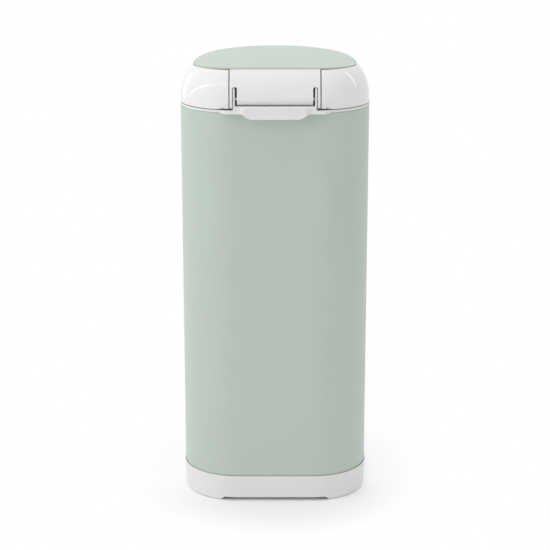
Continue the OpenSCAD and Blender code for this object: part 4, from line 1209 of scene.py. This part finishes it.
# %% A spring for each solid
def spring_set(name, node, body, axis, turns, wire):
    """One wound spring for each solid of a CAD node, filling that solid's box. The solids lie left
    and right, in front and behind, or both, so the signs of x and of y less its mean tell them
    apart where the node is wide or long enough to hold more than one."""
    points = places(frame["nodes"][node].data)
    wide, long, _ = np.ptp(points, axis=0)
    side = np.sign(points[:, 0]) * (wide > 30 or axis == "x")
    half = np.sign(points[:, 1] - points[:, 1].mean()) * (long > 40)
    along = AXES[axis]
    coils = []
    for key in sorted(set(zip(side.tolist(), half.tolist()))):
        own = points[(side == key[0]) & (half == key[1])]
        low, high = own.min(0), own.max(0)
        start = (low + high) / 2
        start[along] = low[along]
        radius = np.delete(high - low, along).max() / 2
        length = high[along] - low[along]
        coils.append(wound(f"{name}_{len(coils)}", start, axis, length, radius, wire, turns))
    piece = joined(name, *coils, sharp=60.0) if len(coils) > 1 else coils[0]
    piece.name = name
    dress(piece, body, "bright_steel", node)


spring_set("release_coil", "release_spring", "head", "y", 6, 0.4)
spring_set("jaw_coils", "jaw_springs", "head", "y", 4, 0.55)
spring_set("pedal_coils", "pedal_spring", "pail", "x", 2, 0.6)

# %% [markdown]
# ## Softer edges on the plain parts
# The other solids keep their shape. Their meshes are copied, loose triangles are merged, flat faces
# are joined again, and a narrow bevel breaks each edge, because no moulded or pressed part has a
# razor edge, and a broken edge is what shows the light.

# %% Bevelled copies of CAD nodes
def softened(node, width, angle=32.0):
    """A copy of a CAD node with its edges broken by a bevel of some tenths of a millimetre."""
    source = frame["nodes"][node]
    mesh = source.data.copy()
    work = bmesh.new()
    work.from_mesh(mesh)
    bmesh.ops.remove_doubles(work, verts=work.verts, dist=2e-6)
    bmesh.ops.dissolve_limit(work, angle_limit=math.radians(0.5), verts=work.verts, edges=work.edges)
    work.to_mesh(mesh)
    work.free()
    piece = bpy.data.objects.new(node + "_soft", mesh)
    bpy.context.scene.collection.objects.link(piece)
    soften = piece.modifiers.new("broken edges", "BEVEL")
    soften.width, soften.segments, soften.limit_method = width * MM, 2, "ANGLE"
    soften.angle_limit = math.radians(angle)
    soften.use_clamp_overlap = True
    bpy.context.view_layer.objects.active = piece
    bpy.ops.object.modifier_apply(modifier=soften.name)
    finish_shading(piece, 30.0)
    return piece


print("a bevel of two segments breaks each edge that turns by more than 32 degrees")

# %% Width of the broken edge on each part, in millimetres
bodies = frame["record"]["behaviour"]["bodies"]
body_of = {node: body for body, nodes in bodies.items() for node in nodes}
EDGES = {
    "mechanism_cover": 0.4, "rod_guides": 0.4, "pedal_lever": 0.4, "rod_foot": 0.5,
    "head_chute": 0.3, "clamp_housing": 0.4, "cassette_ring": 0.6, "jaw_left": 0.4,
    "jaw_right": 0.4, "jaw_lip_left": 0.3, "jaw_lip_right": 0.3, "lid_liner": 0.4,
    "filter_cover": 0.3, "lid_seal": 0.4, "foot_pads": 0.6, "hinge_pin": 0.3, "pedal_pin": 0.3,
}
for node, width in EDGES.items():
    dress(softened(node, width), body_of[node], slot_of[node], node)

# %% [markdown]
# ## Floor
# The floor is a plain white sheet. Near the bin it is a matt surface that takes the bin's soft
# shadow. Further out it fades to plain white, as the backdrop does, so no horizon shows. Only rays
# from the eye, from gloss and through glass see that white, so it adds no light to the bin. A shadow
# catcher and a compositor could do the same, but a material stays with the scene from every side.

# %% Rays that see the backdrop
def seen_ray(tree):
    """1 for camera, glossy and transmission rays, and 0 for the rays that carry light about: the
    highest of the three ray flags."""
    path = put(tree, "ShaderNodeLightPath", {}).outputs
    direct = {0: path["Is Camera Ray"], 1: path["Is Glossy Ray"]}
    either = put(tree, "ShaderNodeMath", {"operation": "MAXIMUM"}, direct).outputs["Value"]
    through = {0: either, 1: path["Is Transmission Ray"]}
    return put(tree, "ShaderNodeMath", {"operation": "MAXIMUM"}, through).outputs["Value"]


print("the backdrop shows to the eye, in gloss and through glass")

# %% White sheet
FADE_START, FADE_END, FADE_NARROW = 150.0, 260.0, 1.15  # the shadow's reach from the bin's middle
BESIDE_START, BESIDE_END = 95.0, 140.0  # the span of |x| over which the sheet beside it whitens
BESIDE_LEVEL, LEVEL_FULL_Y, LEVEL_NONE_Y = 0.8, 40.0, 160.0  # how much of that, and where


def soft_span(start, end, **levels):
    """Settings of a map range node that steps softly between two distances in millimetres."""
    span = {"interpolation_type": "SMOOTHSTEP", "From Min": start * MM, "From Max": end * MM}
    return span | {key.replace("_", " "): level for key, level in levels.items()}


def white_sheet():
    """Matt white paper near the bin, which keeps its shadow, and plain white elsewhere. The share of
    plain white is 1 - near x (1 - beside x level). `near` falls from 1 to 0 with the distance from
    the middle, `beside` rises with |x|, and `level` falls to 0 from LEVEL_FULL_Y to LEVEL_NONE_Y,
    so that the sheet behind the bin keeps its shadow on both sides."""
    made, tree, shader = plain_material("white_paper", "#fbfbfb", 0.9)
    where = put(tree, "ShaderNodeTexCoord", {}).outputs["Object"]
    squeezed = put(tree, "ShaderNodeMapping", {"Scale": (FADE_NARROW, 1, 1)}, {"Vector": where})
    away = put(tree, "ShaderNodeVectorMath", {"operation": "LENGTH"}, {0: squeezed.outputs["Vector"]})
    fade = soft_span(FADE_START, FADE_END, To_Min=1.0, To_Max=0.0)
    near = put(tree, "ShaderNodeMapRange", fade, {"Value": away.outputs["Value"]})
    split = put(tree, "ShaderNodeSeparateXYZ", {}, {"Vector": where})
    size_x = put(tree, "ShaderNodeMath", {"operation": "ABSOLUTE"}, {0: split.outputs["X"]})
    whiten = soft_span(BESIDE_START, BESIDE_END)
    beside = put(tree, "ShaderNodeMapRange", whiten, {"Value": size_x.outputs["Value"]})
    depth = soft_span(LEVEL_NONE_Y, LEVEL_FULL_Y, To_Max=BESIDE_LEVEL)
    level = put(tree, "ShaderNodeMapRange", depth, {"Value": split.outputs["Y"]})

    both = {0: beside.outputs["Result"], 1: level.outputs["Result"]}
    whiter = put(tree, "ShaderNodeMath", {"operation": "MULTIPLY"}, both)
    kept = put(tree, "ShaderNodeMath", {"operation": "SUBTRACT", 0: 1.0}, {1: whiter.outputs["Value"]})
    both = {0: near.outputs["Result"], 1: kept.outputs["Value"]}
    paper = put(tree, "ShaderNodeMath", {"operation": "MULTIPLY"}, both)
    rest = {1: paper.outputs["Value"]}
    plainer = put(tree, "ShaderNodeMath", {"operation": "SUBTRACT", 0: 1.0}, rest)
    both = {0: plainer.outputs["Value"], 1: seen_ray(tree)}
    share = put(tree, "ShaderNodeMath", {"operation": "MULTIPLY"}, both)

    plain = put(tree, "ShaderNodeEmission", {"Color": (1, 1, 1, 1), "Strength": 1.0})
    surfaces = {0: share.outputs["Value"], 1: shader.outputs["BSDF"], 2: plain.outputs["Emission"]}
    mixed = put(tree, "ShaderNodeMixShader", {}, surfaces)
    out = next(n for n in tree.nodes if n.type == "OUTPUT_MATERIAL")
    tree.links.new(mixed.outputs["Shader"], out.inputs["Surface"])
    return made


print("the sheet keeps the shadow up to", FADE_END, "mm from the middle")

# %% Floor
FLOOR_HALF, FLOOR_POINTS = 9000, 19
line = np.linspace(-FLOOR_HALF, FLOOR_HALF, FLOOR_POINTS)
x, y = np.meshgrid(line, line, indexing="ij")
floor = grid_piece("floor", np.stack([x, y, np.zeros_like(x)], axis=-1))
floor.data.materials.append(white_sheet())
print("floor faces", len(floor.data.polygons))

# %% [markdown]
# ## Light
# The studio's white walls are the world: they light the bin evenly, at a strength that leaves a
# white plastic just short of white. Two large lamps, above and to one side, give the forms their
# shade. Their mirror images would be broad bright patches on the glossy dome, so gloss doesn't see
# them. It sees two narrow strips instead, long and thin like a studio's edge lights, which draw the
# bright lines along the dome's shoulders, and one low lamp that lights its edge.

# %% World
ROOM_LEVEL = 0.633
world = bpy.data.worlds.new("studio")
bpy.context.scene.world = world
world.use_nodes = True
tree = world.node_tree
ground = next(n for n in tree.nodes if n.type == "BACKGROUND")
levels = {"To Min": ROOM_LEVEL, "To Max": 1.0}
level = put(tree, "ShaderNodeMapRange", levels, {"Value": seen_ray(tree)})
ground.inputs["Color"].default_value = (1, 1, 1, 1)
tree.links.new(level.outputs["Result"], ground.inputs["Strength"])
print("the room lights the bin with", ROOM_LEVEL, "and shows as 1")


# %% Lamp helpers
HEAD_AIM = (0, 0.05, 0.56)


def soft_lamp(name, place, aim, size, watts):
    """An area lamp, wide and tall by the two sizes in metres, that looks at a point."""
    data = bpy.data.lights.new(name, "AREA")
    data.shape, data.size, data.size_y, data.energy = "RECTANGLE", *size, watts
    lamp = bpy.data.objects.new(name, data)
    bpy.context.scene.collection.objects.link(lamp)
    lamp.location = place
    lamp.rotation_euler = (Vector(aim) - Vector(place)).to_track_quat("-Z", "Y").to_euler()
    return lamp


def strip_lamp(name, first, last, wide, watts):
    """A narrow lamp from one point to another, turned to face the head. The gloss draws it as a
    line. Its own axes are: across = along x out, out = from the head, and along made square to both."""
    first, last, aim = Vector(first), Vector(last), Vector(HEAD_AIM)
    middle = (first + last) / 2
    lamp = soft_lamp(name, middle, aim, (wide, (last - first).length), watts)
    out = (middle - aim).normalized()
    along = (last - first).normalized()
    across_it = along.cross(out).normalized()
    along = out.cross(across_it)
    lamp.rotation_euler = Matrix((across_it, along, out)).transposed().to_euler()


print("strip lamps face the head at", HEAD_AIM)

# %% Lamps
key = soft_lamp("key", (2.2, 1.3, 2.1), (0, 0, 0.35), (1.7, 2.6), 20.5)
top = soft_lamp("top", (0.2, 0.2, 2.6), (0, 0, 0.3), (1.8, 1.8), 11.8)
for lamp in (key, top):
    lamp.visible_glossy = False
strip_lamp("right_line", (-1.80, -0.40, 2.36), (-2.54, -0.30, 0.99), 0.09, 3.6)
strip_lamp("left_line", (2.55, -0.80, 0.39), (0.87, 2.05, 2.00), 0.05, 3.2)
soft_lamp("edge", (1.9, -1.6, 0.75), (0, 0, 0.5), (0.9, 1.2), 2.3)

# %% [markdown]
# ## Camera
# A long lens from two metres away keeps the bin's sides nearly parallel. The camera stands behind
# the bin, a little above its lid, and looks down by 16 degrees, so that the lid's panel shows.

# %% Camera
camera_data = bpy.data.cameras.new("view")
camera_data.lens, camera_data.sensor_width = 110.6, 36.0
camera = bpy.data.objects.new("view", camera_data)
bpy.context.scene.collection.objects.link(camera)
camera.location = (0, 2.228, 0.9165)
camera.rotation_euler = (math.radians(74.05), 0, math.pi)
bpy.context.scene.camera = camera
bpy.context.scene.view_settings.view_transform = "Standard"
print("camera at", list(camera.location), "with a lens of", camera_data.lens, "mm")
